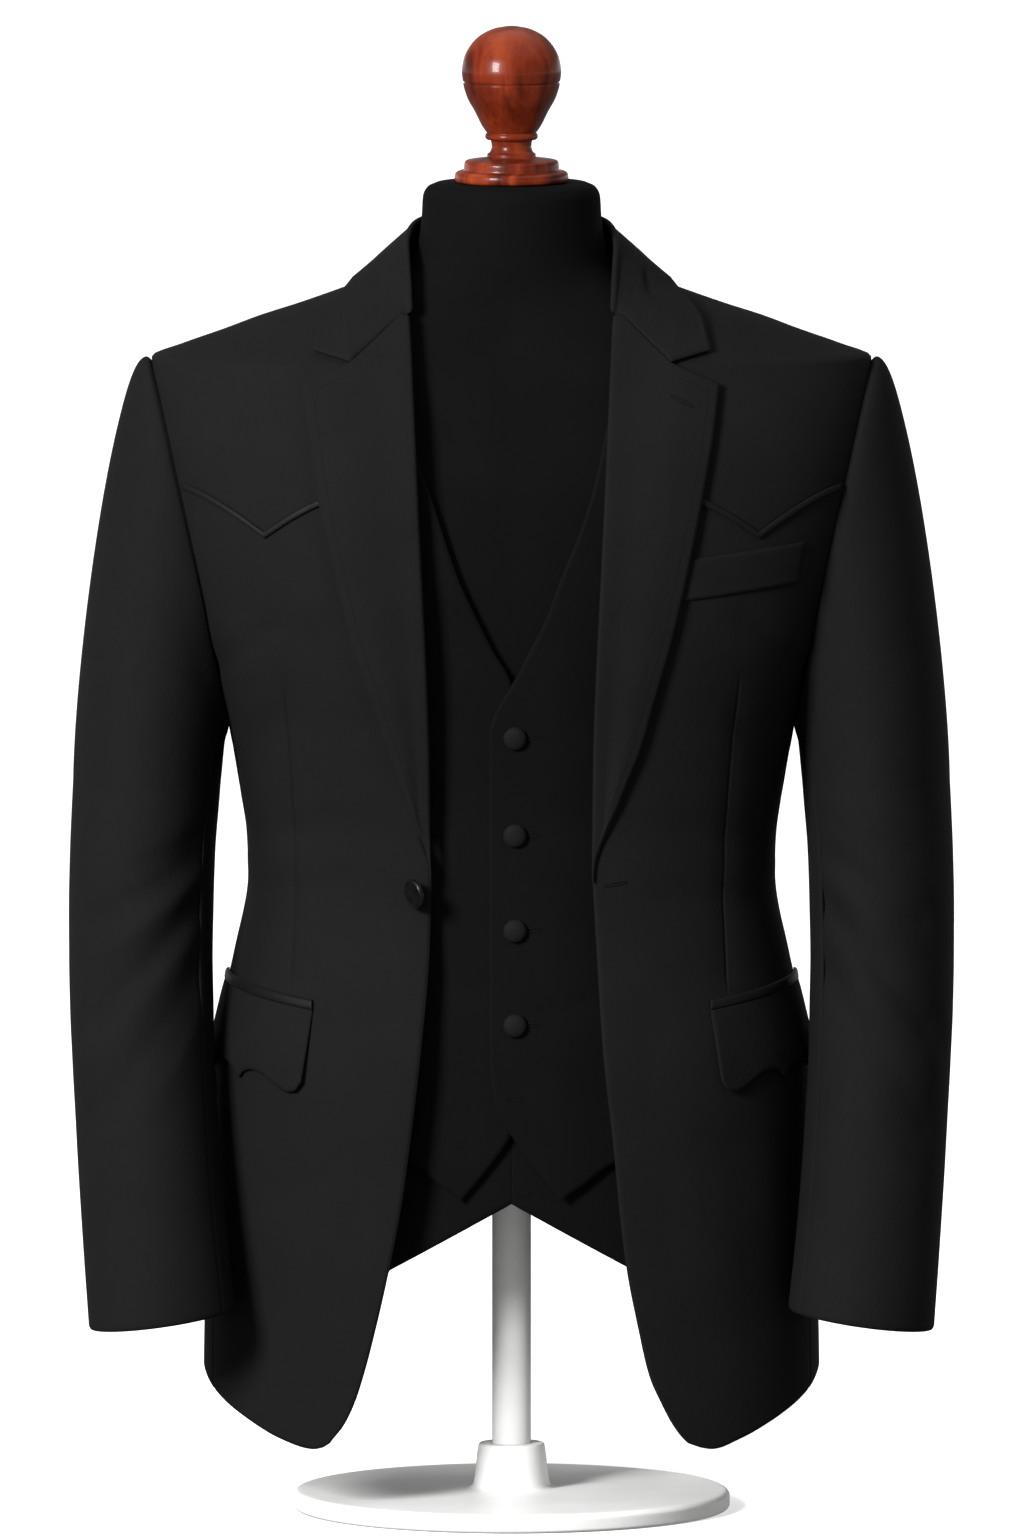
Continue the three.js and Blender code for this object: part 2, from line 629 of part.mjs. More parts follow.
const SLEEVE_TOP = 470; // below this the sections are level
const SLEEVE = table("height middle half ahead depth", [
  [118, 222, 47, 95, 51],
  [134, 223.2, 46.6, 92, 52],
  [167, 226.3, 46, 84, 53.5],
  [199, 229, 45.6, 75, 55],
  [231, 231.4, 45.4, 66, 57],
  [263, 233.4, 45.3, 56, 59],
  [295, 235.2, 45.4, 47, 61],
  [327, 236.3, 45.9, 38, 63],
  [360, 237, 46, 28, 65],
  [392, 236.8, 46.4, 20, 67],
  [424, 236, 46.6, 12, 69],
  [456, 234.1, 47.2, 5, 71],
  [470, 233.2, 47.4, 2, 72],
]);
const CUFF = { height: 133, lean: 6.5 };
const HEAD_SHARES = [0, 0.05, 0.13, 0.24, 0.37, 0.51, 0.66, 0.82, 1];
const ARM_ROWS = 12;
const FRONT_SEAM = 32;
const BACK_SEAM = 360 - 91;

// Creases in the sleeve: from one place to another (degrees round from the inner side, height), depth and half width.
const CREASES = [
  { from: [48, 424], to: [120, 388], deep: 3, wide: 12 },
  { from: [42, 392], to: [128, 322], deep: 3.5, wide: 13 },
  { from: [40, 352], to: [132, 262], deep: 2.5, wide: 12 },
  { from: [236, 372], to: [320, 398], deep: 3, wide: 13 },
  { from: [230, 338], to: [318, 352], deep: 2.5, wide: 12 },
];

/** How deep the creases are at a place on the sleeve. */
function creaseDepth(turn, height) {
  const mmPerDegree = 0.95;
  return CREASES.reduce((sum, { from, to, deep, wide }) => {
    const [dx, dz] = [(to[0] - from[0]) * mmPerDegree, to[1] - from[1]];
    const [px, pz] = [(turn - from[0]) * mmPerDegree, height - from[1]];
    const length = Math.hypot(dx, dz);
    const along = (px * dx + pz * dz) / length;
    const aside = (px * dz - pz * dx) / length;
    const beyond = Math.max(0, -along, along - length);
    return sum + deep * Math.exp(-((aside / wide) ** 2) - (beyond / 16) ** 2);
  }, 0);
}

/** The sleeve's level section at a height: turn 0 faces the body, 90 the front, 180 outward. */
function sleeveRing(turn, height) {
  const angle = radians(turn);
  const lean = CUFF.lean * ((SLEEVE_TOP - height) / (SLEEVE_TOP - CUFF.height));
  return new THREE.Vector3(
    SLEEVE.middle(height) - SLEEVE.half(height) * Math.cos(angle),
    -SLEEVE.ahead(height) - SLEEVE.depth(height) * Math.sin(angle),
    height + lean * Math.cos(angle),
  );
}

/** A point of the sleeve: share 0 to 1 is the head, 1 to 2 the arm. */
function sleevePoint(turn, share) {
  if (share > 1) return sleeveRing(turn, lerp(SLEEVE_TOP, CUFF.height, share - 1));
  const angle = radians(turn);
  const height = armHeight(turn);
  const seam = new THREE.Vector3(armholeOut(height) + SEAM, -ARMHOLE.reach * Math.sin(angle), height);
  const end = sleeveRing(turn, SLEEVE_TOP);
  const high = (1 - Math.cos(angle)) / 2;
  const leave = new THREE.Vector3(lerp(8, 60, high), -22 * Math.sin(angle), lerp(-30, 55, high * high));
  const arrive = new THREE.Vector3(4, -6 * Math.sin(angle), -lerp(33, 260, high));
  const back = 1 - share;
  return seam
    .multiplyScalar((1 + 2 * share) * back * back)
    .addScaledVector(leave, share * back * back)
    .addScaledVector(end, share * share * (3 - 2 * share))
    .addScaledVector(arrive, -share * share * back);
}

/** The sleeve's outside, creased, or its inside when `inward` is the cloth's thickness. */
function onSleeve(turn, share, inward) {
  const nudge = 0.01;
  const round = sleevePoint(turn + 1, share).sub(sleevePoint(turn - 1, share));
  const down = sleevePoint(turn, Math.min(2, share + nudge)).sub(sleevePoint(turn, Math.max(0, share - nudge)));
  const normal = down.cross(round).normalize();
  const point = sleevePoint(turn, share);
  const dent = creaseDepth(turn, point.z) * ease(share, 0.9, 1.05);
  return point.addScaledVector(normal, -dent - inward);
}

const BACK_TURNS = ARM_TURNS.map((turn) => 360 - turn).reverse();
const UPPER_TURNS = [...ARM_TURNS, ...BACK_TURNS.slice(1)].filter((turn) => turn >= FRONT_SEAM && turn <= BACK_SEAM);
const UNDER_TURNS = [...BACK_TURNS, ...ARM_TURNS.slice(1).map((turn) => turn + 360)].filter(
  (turn) => turn >= BACK_SEAM && turn <= FRONT_SEAM + 360,
);

function sleevePiece(side, turns) {
  const shares = [...HEAD_SHARES, ...steps(ARM_ROWS).slice(1).map((t) => 1 + t)];
  const half = 0.2; // half the seam between the two pieces, in degrees
  const kept = turns.map((turn, i) => turn + (i === 0 ? half : i === turns.length - 1 ? -half : 0));
  const skin = (inward) => shares.map((share) => kept.map((turn) => onSleeve(turn, share, inward)));
  return wall(skin(0), skin(JACKET_CLOTH), side.sign);
}

// ---- Vest ----

const VEST_EDGE = table("height over under", [
  [209, 32.3, 33],
  [228, 17, 17],
  [251, 0.3, 1],
  [270, -10.6, -8],
  [305, -14, -10],
  [508, -14.4, -10],
  [519, -11.8, -7],
  [528, -7.4, -3],
  [544, 2.2, 1.5],
  [563, 11.8, 12.6],
  [582, 21.4, 22],
  [608, 31, 34],
  [631, 40.6, 42],
  [659, 50.2, 51],
  [685, 56.6, 59.8],
  [704, 60.5, 64],
  [745, 72, 73],
  [790, 84, 84],
]);
const vestHem = smooth([[0, 209], [0.12, 218], [0.3, 236], [0.6, 250], [1, 254]]);
const vestArmhole = smooth([[500, 161], [530, 150], [570, 142], [620, 138], [690, 139], [730, 143], [770, 150]]);
const VEST_ARMPIT = 495;
const VEST_TOP = 780;

function vestSide(height, front) {
  if (height <= VEST_ARMPIT) return Math.PI / 2 + (front ? -SEAM_ANGLE : SEAM_ANGLE);
  const angle = angleAt(VEST, vestArmhole(height), height, front);
  if (front) return Math.min(angle, Math.PI / 2 - SEAM_ANGLE);
  return Math.max(angle, Math.PI / 2 + SEAM_ANGLE);
}

const VEST_HEIGHTS = [VEST_ARMPIT, 515, 545, 590, 635, 680, 715, 742, 758, 767, 776, VEST_TOP];

function vestFront(side) {
  const laps = side.sign > 0;
  const edge = laps ? VEST_EDGE.over : VEST_EDGE.under;
  const waist = steps(7).map((t) => (u) => lerp(vestHem(u), VEST_ARMPIT, t));
  const chest = VEST_HEIGHTS.slice(1).map((height) => () => height);
  const columns = [0, 0.1, 0.24, 0.4, 0.56, 0.72, 0.87, 1];
  return laid([...waist, ...chest], columns, LIGHT_CLOTH, side.sign, (row, u) => {
    const height = row(u);
    const angle = lerp(angleAt(VEST, edge(height), height), vestSide(height, true), u ** 1.3);
    const x = onBody(VEST, angle, height).x;
    const lift = laps ? VEST_LAP.lift * (1 - ease(x, VEST_LAP.full, VEST_LAP.gone)) : 0;
    return [VEST, angle, height, lift];
  });
}

function vestBack() {
  const waist = steps(4).map((t) => lerp(254, VEST_ARMPIT, t));
  const heights = [...waist, ...VEST_HEIGHTS.slice(1)];
  return laid(heights, steps(12), LIGHT_CLOTH, 1, (height, u) => {
    const side = vestSide(height, false);
    return [VEST, lerp(side, 2 * Math.PI - side, u), height, 0];
  });
}

// ---- Trouser tops ----

function trouserPanel(side, front) {
  const middle = 0.25;
  return laid(steps(6), steps(6), LIGHT_CLOTH, side.sign, (t, u) => {
    const seam = Math.PI / 2 + (front ? -SEAM_ANGLE : SEAM_ANGLE);
    const place = (height) => lerp(angleAt(TROUSERS, middle, height, front), seam, u);
    const x = onBody(TROUSERS, place(TROUSER_PEAK), TROUSER_PEAK).x;
    const height = lerp(TROUSER_PEAK - TROUSER_SLOPE * x, WAIST_TOP, t);
    return [TROUSERS, place(height), height, 0];
  });
}

// ---- Buttons ----

const VEST_BUTTON = { radius: 7.5, thick: 4.6, x: 2.2, heights: [506.4, 443.4, 382.3, 321.8] };
// The jacket button hangs tipped on its thread: its face leans out sideways and a little down.
const JACKET_BUTTON = {
  radius: 9.8, thick: 3.4, x: 59.4, height: 407.5, tilt: radians(55), leaning: new THREE.Vector3(-0.96, 0, -0.26),
};

/** A button that stands on the point `foot` and faces the point `above`. */
function seated(name, geometry, material, foot, above) {
  const mesh = add(name, geometry, material);
  mesh.position.copy(foot);
  mesh.quaternion.setFromUnitVectors(new THREE.Vector3(0, 0, 1), above.clone().sub(foot).normalize());
}

function buttons() {
  const { radius, thick } = VEST_BUTTON;
  const dome = [[0, 0], [radius * 0.85, 0], [radius, 0.9], [radius * 0.93, 2.4], [radius * 0.65, 3.9], [0, thick]];
  VEST_BUTTON.heights.forEach((height, i) => {
    const angle = angleAt(VEST, VEST_BUTTON.x, height);
    const place = (lift) => lay(VEST, angle, height, VEST_LAP.lift + lift);
    seated(`vest_button_${i + 1}`, turned(dome, 14), COVERED_BUTTON, place(SEAM + 0.3), place(9));
  });
  const { radius: wide, thick: deep, x, height, tilt, leaning } = JACKET_BUTTON;
  const disc = [[0, 0], [wide - 1, 0], [wide, 1.2], [wide - 0.2, deep - 0.8], [wide - 1.2, deep], [0, deep]];
  const angle = angleAt(JACKET, -x, height);
  const place = (lift) => lay(JACKET, angle, height, lift);
  const foot = place((wide - 1) * Math.sin(tilt) + 2 * SEAM);
  const facing = place(1).sub(place(0)).multiplyScalar(Math.cos(tilt)).addScaledVector(leaning, Math.sin(tilt));
  seated("jacket_button", turned(disc, 18), HORN, foot, foot.clone().add(facing));
}

// ---- Dress form, finial and stand ----

function formTorso() {
  const around = 24;
  const ring = (height) => Array.from({ length: around }, (_, k) => onBody(FORM, (k / around) * 2 * Math.PI, height));
  return stacked(FORM_HEIGHTS.map(ring));
}

const FORM_TOP = 852.5;
const CAP_FOOT = FORM_TOP + SEAM;
const NECK_CAP = [
  [0, 0], [34.5, 0], [36.2, 1.2], [36.2, 5], [33.5, 7.5], [30.5, 8.3], [30, 12], [27, 14.5], [15.5, 16],
  [15.4, 18], [13.6, 19.6], [12.6, 23.5], [13.2, 27], [0, 27],
];
const FINIAL_FOOT = 27 + SEAM;
const FINIAL = [
  [0, 0], [16, 0.4], [16.8, 2.2], [16, 4.2], [16.4, 4.8], [19, 9], [23.5, 18], [28.4, 27], [30.8, 35.5], [30.2, 37.2],
  [31, 38.6], [31.8, 44], [30.5, 52], [26.5, 60], [19.5, 67], [10.5, 71.2], [0, 72.8],
];

const STAND = { pole: 12.5, base: 140, floor: 12, hub: 24, hubTop: 42, socket: 14, flange: 45, flangeThick: 5 };

function stand() {
  const { pole, base, floor, hub, hubTop, socket, flange, flangeThick } = STAND;
  const top = 222 - SEAM;
  const plate = [
    [0, 0], [base - 2, 0], [base, 2], [base, floor - 3], [base - 4, floor], [hub + 3, floor + 1], [hub, floor + 5],
    [hub - 3, hubTop], [pole + SEAM, hubTop], [pole + SEAM, socket], [0, socket],
  ];
  const tube = [
    [0, socket + SEAM], [pole, socket + SEAM], [pole, top - flangeThick - 6], [pole + 5, top - flangeThick],
    [flange, top - flangeThick], [flange, top], [0, top],
  ];
  add("stand_base", turned(plate, 28), STAND_PAINT);
  add("stand_pole", turned(tube, 16), STAND_PAINT);
}

// ---- The whole ----

for (const side of SIDES) {
  add(`jacket_front_${side.name}`, jacketFront(side), SUITING);
  add(`jacket_yoke_${side.name}`, jacketYoke(side), SUITING);
  add(`jacket_back_${side.name}`, jacketBack(side), SUITING);
  add(`lapel_${side.name}`, lapel(side), SUITING);
  add(`yoke_piping_${side.name}`, yokePiping(side), SUITING);
  add(`pocket_jet_${side.name}`, pocketJet(side), SUITING);
  add(`pocket_flap_${side.name}`, pocketFlap(side), SUITING);
  add(`sleeve_upper_${side.name}`, sleevePiece(side, UPPER_TURNS), SUITING);
  add(`sleeve_under_${side.name}`, sleevePiece(side, UNDER_TURNS), SUITING);
  add(`vest_front_${side.name}`, vestFront(side), SUITING);
  add(`trouser_front_${side.name}`, trouserPanel(side, true), SUITING);
  add(`trouser_back_${side.name}`, trouserPanel(side, false), SUITING);
}
add("collar", collar(), SUITING);
add("breast_welt", breastWelt(), SUITING);
add("vest_back", vestBack(), SUITING);
buttons();
add("form_torso", formTorso(), FORM_CLOTH);
add("neck_cap", turned(NECK_CAP, 24), WOOD).position.z = CAP_FOOT;
add("finial", turned(FINIAL, 24), WOOD).position.z = CAP_FOOT + FINIAL_FOOT;
stand();

export default suit;
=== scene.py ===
"""The cloth, sewing, wood and light of a black western suit on a dress form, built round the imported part.

Lengths are in millimetres until a mesh is made. The front faces -Y and the wearer's left is +X.
"""

import math

import bpy
import numpy as np
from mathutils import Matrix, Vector


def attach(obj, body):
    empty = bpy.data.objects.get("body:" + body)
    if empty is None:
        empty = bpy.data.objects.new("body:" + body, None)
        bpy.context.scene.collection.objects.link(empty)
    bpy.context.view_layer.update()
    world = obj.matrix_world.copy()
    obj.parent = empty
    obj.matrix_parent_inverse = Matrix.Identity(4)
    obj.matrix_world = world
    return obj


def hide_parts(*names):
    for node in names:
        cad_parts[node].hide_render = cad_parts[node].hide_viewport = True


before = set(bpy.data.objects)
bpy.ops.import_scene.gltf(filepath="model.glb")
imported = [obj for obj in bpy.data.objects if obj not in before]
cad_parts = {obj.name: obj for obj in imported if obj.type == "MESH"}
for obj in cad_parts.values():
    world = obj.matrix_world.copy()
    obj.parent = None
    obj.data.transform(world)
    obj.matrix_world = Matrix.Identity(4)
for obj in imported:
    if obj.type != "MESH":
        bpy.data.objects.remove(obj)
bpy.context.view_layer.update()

MM = 0.001
JACKET_CLOTH = 1.8
LIGHT_CLOTH = 1.4
SEAM = 0.3
LIE = 0.6
REST = 0.7
SEAM_ANGLE = 0.0013

ARM_MIDDLE, ARM_HEIGHT, ARM_REACH = 622, 117, 60
ARMPIT = ARM_MIDDLE - ARM_HEIGHT
ARM_TOP = ARM_MIDDLE + ARM_HEIGHT
NECK_TOP = 794
LAPEL_FOOT, LAPEL_LIE, LAPEL_TURN = 414, 1.25, 6
FOLD_STARTS, FOLD_FULL = 422, 442
SIDES = {"r": -1, "l": 1}


# ---- Tables and small helpers ----


def smooth(points):
    """A curve through points that never swings past them; flat beyond its ends."""
    x, y = np.array(points, float).T
    step = np.diff(x)
    rise = np.diff(y) / step
    slope = np.concatenate([rise[:1], np.zeros(len(x) - 2), rise[-1:]])
    for i in range(1, len(x) - 1):
        if rise[i - 1] * rise[i] > 0:
            before, after = 2 * step[i] + step[i - 1], step[i] + 2 * step[i - 1]
            slope[i] = (before + after) / (before / rise[i - 1] + after / rise[i])

    def at(value):
        value = np.asarray(value, float)
        i = np.clip(np.searchsorted(x, value, side="right") - 1, 0, len(step) - 1)
        t = np.clip((value - x[i]) / step[i], 0, 1)
        back = 1 - t
        level = y[i] * (1 + 2 * t) * back**2 + y[i + 1] * t**2 * (3 - 2 * t)
        return level + step[i] * t * back * (slope[i] * back - slope[i + 1] * t)

    return at


def columns(rows):
    """Each column after the first, as a smooth function of the first."""
    first, *others = zip(*rows)
    return [smooth(list(zip(first, other))) for other in others]


def by_side(sides, rows):
    """One curve for each side, from rows of a height and one value a side."""
    return dict(zip(sides, columns(rows)))


def lerp(a, b, t):
    return a + (b - a) * t


def ease(value, low, high):
    t = np.clip((value - low) / (high - low), 0, 1)
    return t * t * (3 - 2 * t)


def unit(v):
    return v / np.maximum(np.linalg.norm(v, axis=-1, keepdims=True), 1e-9)


def spread(count, close=()):
    """Even steps from 0 to 1, with some closer to both ends."""
    near = np.array(close, float)
    return np.unique(np.concatenate([np.linspace(0, 1, count + 1), near, 1 - near]).round(6))


def bell(distance, width):
    return np.exp(-((distance / width) ** 2))


# ---- Bodies: level sections, each half a rounded box in front and half behind ----


class Body:
    def __init__(self, rows):
        self.wide, self.front, self.back, self.power = columns(rows)
        self.relief = lambda point, side: 0.0
        self.side = 1

    def half(self, height, depth):
        return self.wide(height)

    def section(self, height, ahead):
        depth = np.where(ahead, self.front(height), self.back(height))
        return depth, self.half(height, depth), self.power(height)

    def at(self, angle, height):
        across, along = np.sin(angle), np.cos(angle)
        depth, half, power = self.section(height, along > 0)
        x = half * np.sign(across) * np.abs(across) ** (2 / power)
        y = -depth * np.sign(along) * np.abs(along) ** (2 / power)
        return np.stack(np.broadcast_arrays(x, y, height), -1)

    def lay(self, angle, height, lift=0.0):
        """Points on the body lifted off it along its normal, with its folds."""
        angle, height = np.broadcast_arrays(np.asarray(angle, float), np.asarray(height, float))
        around = self.at(angle + 0.01, height) - self.at(angle - 0.01, height)
        up = self.at(angle, height + 0.5) - self.at(angle, height - 0.5)
        point = self.at(angle, height)
        raised = np.broadcast_to(lift + self.relief(point, self.side), angle.shape)
        return point + unit(np.cross(around, up)) * raised[..., None]

    def angle_at(self, x, height, front=True):
        _, half, power = self.section(height, front)
        angle = np.arcsin(np.minimum(1, np.abs(x) / half) ** (power / 2)) * np.sign(x)
        return angle if front else np.pi - angle

    def walk(self, start, height, distance, most):
        """The angle reached by walking some mm round at one height, `most` mm at the furthest."""
        steps = np.linspace(0, most / 60, 160)
        level = np.broadcast_to(height[..., None], start.shape + steps.shape)
        path = self.at(start[..., None] + steps, level)
        gone = np.cumsum(np.linalg.norm(np.diff(path, axis=-2), axis=-1), axis=-1)
        gone = np.concatenate([np.zeros(gone.shape[:-1] + (1,)), gone], -1)
        found = [np.interp(d, g, steps) for d, g in zip(distance.ravel(), gone.reshape(-1, len(steps)))]
        return start + np.reshape(found, start.shape)


SHOULDER_ROWS = [
    (741, 230, 94, 95, 2.2),
    (748.5, 212, 88, 89, 2.2),
    (758, 185, 82, 83, 2.2),
    (767, 161, 76.5, 77.5, 2.2),
    (774, 139, 72, 73, 2.2),
    (787, 102, 66, 67, 2.2),
    (797, 75, 62, 63, 2.1),
    (812, 62, 60, 61, 2),
]


def shoulders_under(under, slack=0.0):
    """The shoulders' sections for cloth that lies some mm under the jacket."""
    inward = 1.2 * under + slack
    return [(z - under, half, front - inward, back - inward, p) for z, half, front, back, p in SHOULDER_ROWS]


VEST_UNDER = JACKET_CLOTH + REST
FORM_UNDER = VEST_UNDER + LIGHT_CLOTH + 2 * REST
FORM_SLACK = 4.6

# Height, half width, front depth, back depth, squareness; also of the shoulders above.
JACKET_ROWS = [
    (40, 198, 128, 126, 2.4),
    (118, 197, 128, 126, 2.4),
    (200, 193.5, 127, 126, 2.45),
    (294, 190, 125, 124, 2.45),
    (326, 185, 121, 119, 2.45),
    (358, 178, 116, 111, 2.45),
    (409, 169, 110, 99, 2.5),
    (438, 170, 110, 98, 2.5),
    (470, 175, 113, 102, 2.5),
    (505, 181, 118, 108, 2.5),
    (560, 190, 125, 116, 2.5),
    (600, 197, 126.6, 120, 2.5),
    (640, 206, 125.2, 122, 2.5),
    (675, 214, 120, 120, 2.45),
    (705, 221, 111, 113.5, 2.4),
    (723, 226, 103.4, 105.5, 2.3),
    *SHOULDER_ROWS,
]
VEST_ROWS = [
    (170, 172, 106, 109, 2.4),
    (300, 170, 104, 106.5, 2.4),
    (350, 160, 101, 97, 2.4),
    (409, 151, 99, 87, 2.4),
    (440, 150.5, 99, 87, 2.4),
    (505, 160, 104, 95, 2.4),
    (560, 172, 110, 104, 2.4),
    (622, 186, 115, 111, 2.4),
    (660, 200, 113, 112, 2.4),
    (700, 215, 104, 107, 2.3),
    (723, 222, 96, 99, 2.2),
    *shoulders_under(VEST_UNDER),
]
TROUSER_ROWS = [
    (110, 166, 102, 106, 2.4),
    (300, 163.5, 97.5, 102, 2.4),
    (350, 153.5, 94.5, 91.5, 2.4),
    (409, 143.2, 93.2, 83.2, 2.4),
    (430, 142.9, 92.2, 82.2, 2.4),
]
FORM_ROWS = [
    (222, 158, 91, 97, 2.4),
    (236, 161, 94, 99, 2.4),
    (300, 160, 94, 98, 2.4),
    (350, 150, 91, 88, 2.4),
    (409, 140, 90, 80, 2.4),
    (440, 141, 90, 80, 2.4),
    (505, 152, 96, 90, 2.3),
    (560, 163, 103, 99, 2.3),
    (622, 176, 108, 106, 2.3),
    (660, 188, 106, 107, 2.2),
    (700, 203, 96, 100, 2.2),
    (722, 209, 88, 92, 2.2),
    (735, 206, 83, 85, 2.2),
    *[(z, min(half, 202), f, b, p) for z, half, f, b, p in shoulders_under(FORM_UNDER, FORM_SLACK)[1:5]],
    (781.7, 102, 57.8, 58, 2.2),
    (791.7, 75, 57.8, 58.2, 2.1),
    (803, 63, 58, 58.6, 2),
    (812, 60, 57.5, 58, 2),
    (830, 57.5, 57, 57, 2),
    (844, 56.6, 56.6, 56.6, 2),
    (850, 53.5, 53.5, 53.5, 2),
    (852.5, 48, 48, 48, 2),
]
JACKET, VEST, TROUSERS, FORM = (Body(rows) for rows in (JACKET_ROWS, VEST_ROWS, TROUSER_ROWS, FORM_ROWS))
# How far out the armhole's seam is, by height.
armhole_out = smooth(
    [(505, 181), (514, 182), (537, 186), (564, 191.5), (590, 196), (623, 203), (670, 213.5)]
    + [(714, 223.5), (739, 230)]
)


def armhole_reach(height):
    off = (height - ARM_MIDDLE) / ARM_HEIGHT
    return ARM_REACH * np.sqrt(np.clip(1 - off**2, 0, 1))


def jacket_half(height, depth):
    """Beside the armhole the section is as wide as takes it through the armhole seam."""
    power = JACKET.power(height)
    beside = armhole_out(height) / (1 - (armhole_reach(height) / depth) ** power) ** (1 / power)
    return np.where((height > ARMPIT) & (height < ARM_TOP), beside, JACKET.wide(height))


JACKET.half = jacket_half

# ---- Soft folds pressed into the cloth ----

# From one place to another (mm to the wearer's left, height), depth (a ridge when below 0), half width.
JACKET_FRONT_FOLDS = [
    (-150, 575, -188, 548, 1.6, 9),
    (-128, 590, -170, 560, -0.9, 12),
    (-158, 512, -182, 470, 1.1, 8),
    (-120, 452, -168, 432, 0.7, 9),
    (-108, 414, -160, 404, 0.9, 10),
    (-84, 330, -98, 190, 0.9, 14),
    (-150, 250, -160, 120, 0.8, 16),
    (152, 580, 186, 545, 1.4, 10),
    (124, 600, 172, 566, -0.8, 12),
    (150, 505, 180, 468, 1.2, 9),
    (112, 447, 166, 430, 0.8, 9),
    (100, 405, 158, 398, 0.9, 11),
    (86, 310, 104, 170, 0.8, 15),
    (146, 240, 158, 130, 0.9, 14),
]
JACKET_BACK_FOLDS = [
    (-60, 448, -150, 430, 1.3, 12),
    (-40, 420, -145, 402, 1.6, 13),
    (-70, 392, -150, 372, 1.0, 12),
    (52, 440, 148, 428, 1.5, 13),
    (44, 412, 140, 398, 1.2, 12),
    (80, 384, 150, 370, 1.1, 13),
    (-30, 700, -120, 640, 1.2, 16),
    (34, 704, 130, 650, 1.0, 17),
    (-120, 600, -180, 560, 1.4, 14),
    (116, 596, 178, 552, 1.2, 13),
    (-110, 330, -130, 140, 1.3, 18),
    (100, 320, 128, 130, 1.1, 19),
]
VEST_FRONT_FOLDS = [
    (20, 390, 70, 380, 0.5, 8),
    (24, 330, 80, 345, 0.7, 9),
    (30, 455, 76, 436, 0.5, 8),
    (-20, 410, -70, 396, 0.5, 8),
    (-24, 345, -78, 362, 0.6, 9),
]
VEST_BACK_FOLDS = [
    (-60, 430, 70, 424, 0.9, 12),
    (-80, 396, 60, 402, 0.8, 12),
]
LAPEL_HOLLOW = {"depth": 1.5, "half_width": 8}


def fold_depth(folds, across, up, fade=None):
    """How deep some straight folds are at a place; each fades beyond its ends."""
    total = np.zeros(across.shape)
    for x0, z0, x1, z1, deep, wide in folds:
        dx, dz = x1 - x0, z1 - z0
        long = math.hypot(dx, dz)
        along = ((across - x0) * dx + (up - z0) * dz) / long
        aside = ((across - x0) * dz - (up - z0) * dx) / long
        beyond = np.maximum(0, np.maximum(-along, along - long))
        total += deep * bell(aside, wide) * bell(beyond, fade or 1.4 * wide)
    return total


def folded(front, back, point, side):
    """How far the folds move a body's cloth off its sections, for a side built on the left."""
    x, y, z = np.moveaxis(point, -1, 0)
    return -np.where(y < 0, fold_depth(front, x * side, z), fold_depth(back, x * side, z))


def jacket_relief(point, side):
    """The folds, and on the right the hollow that the cloth makes along the lapel's edge."""
    x, y, z = np.moveaxis(point, -1, 0)
    along = ease(z, 440, 500) * (1 - ease(z, 680, 722)) * (y < 0) * (side < 0)
    hollow = LAPEL_HOLLOW["depth"] * bell(x - LAPEL_EDGE["r"](z), LAPEL_HOLLOW["half_width"]) * along
    return folded(JACKET_FRONT_FOLDS, JACKET_BACK_FOLDS, point, side) - hollow


JACKET.relief = jacket_relief
VEST.relief = lambda point, side: folded(VEST_FRONT_FOLDS, VEST_BACK_FOLDS, point, side)

# ---- Meshes ----

# How far a free edge rolls to the inside, as a share of the cloth, and how far the rim swells.
EDGE_ROLL, RIM_OUT = 0.55, 0.2


def grid_quads(rows, count, start=0, closed=False):
    r = np.arange(rows - 1)[:, None]
    c = np.arange(count if closed else count - 1)[None, :]
    after = (c + 1) % count
    a, b = r * count + c, r * count + after
    return start + np.stack([a, b, b + count, a + count], -1).reshape(-1, 4)


def volume(points, quads):
    """Six times the volume that quads enclose, below 0 when they face in."""
    a, b, c, d = (points[quads[:, i]] for i in range(4))
    return (a * np.cross(b, c)).sum() + (a * np.cross(c, d)).sum()


def placed(name, data, at=(0, 0, 0), toward=None):
    """An object of the scene, at a place and turned to look some way."""
    obj = bpy.data.objects.new(name, data)
    bpy.context.scene.collection.objects.link(obj)
    obj.location = at
    if toward is not None:
        obj.rotation_mode = "QUATERNION"
        obj.rotation_quaternion = toward.to_track_quat("-Z", "Y")
    return obj


def piece(name, points, quads, material, replaces=(), flow=None):
    """A closed mesh that rides on the body, with `flow` as its cloth coordinates."""
    if volume(points, quads) < 0:
        quads = quads[:, ::-1]
    mesh = bpy.data.meshes.new(name)
    mesh.from_pydata((points * MM).tolist(), [], [list(dict.fromkeys(q)) for q in quads.tolist()])
    if flow is not None:
        layer = mesh.uv_layers.new(name="cloth")
        corners = np.empty(len(mesh.loops), np.int32)
        mesh.loops.foreach_get("vertex_index", corners)
        layer.data.foreach_set("uv", (flow[corners] * MM).ravel())
    mesh.shade_smooth()
    mesh.materials.append(material)
    obj = placed(name, mesh)
    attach(obj, "root")
    if replaces:
        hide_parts(*replaces)
    return obj


def flow_of(grid):
    """Distances over a grid of cloth, across and up, from its middle."""
    across = np.linalg.norm(np.diff(grid, axis=1), axis=-1).cumsum(1)
    across = np.concatenate([np.zeros((len(grid), 1)), across], 1)
    up = np.linalg.norm(np.diff(grid, axis=0), axis=-1).cumsum(0)
    up = np.concatenate([np.zeros((1, grid.shape[1])), up], 0)
    return np.stack([across - across.mean(), up], -1).reshape(-1, 2)


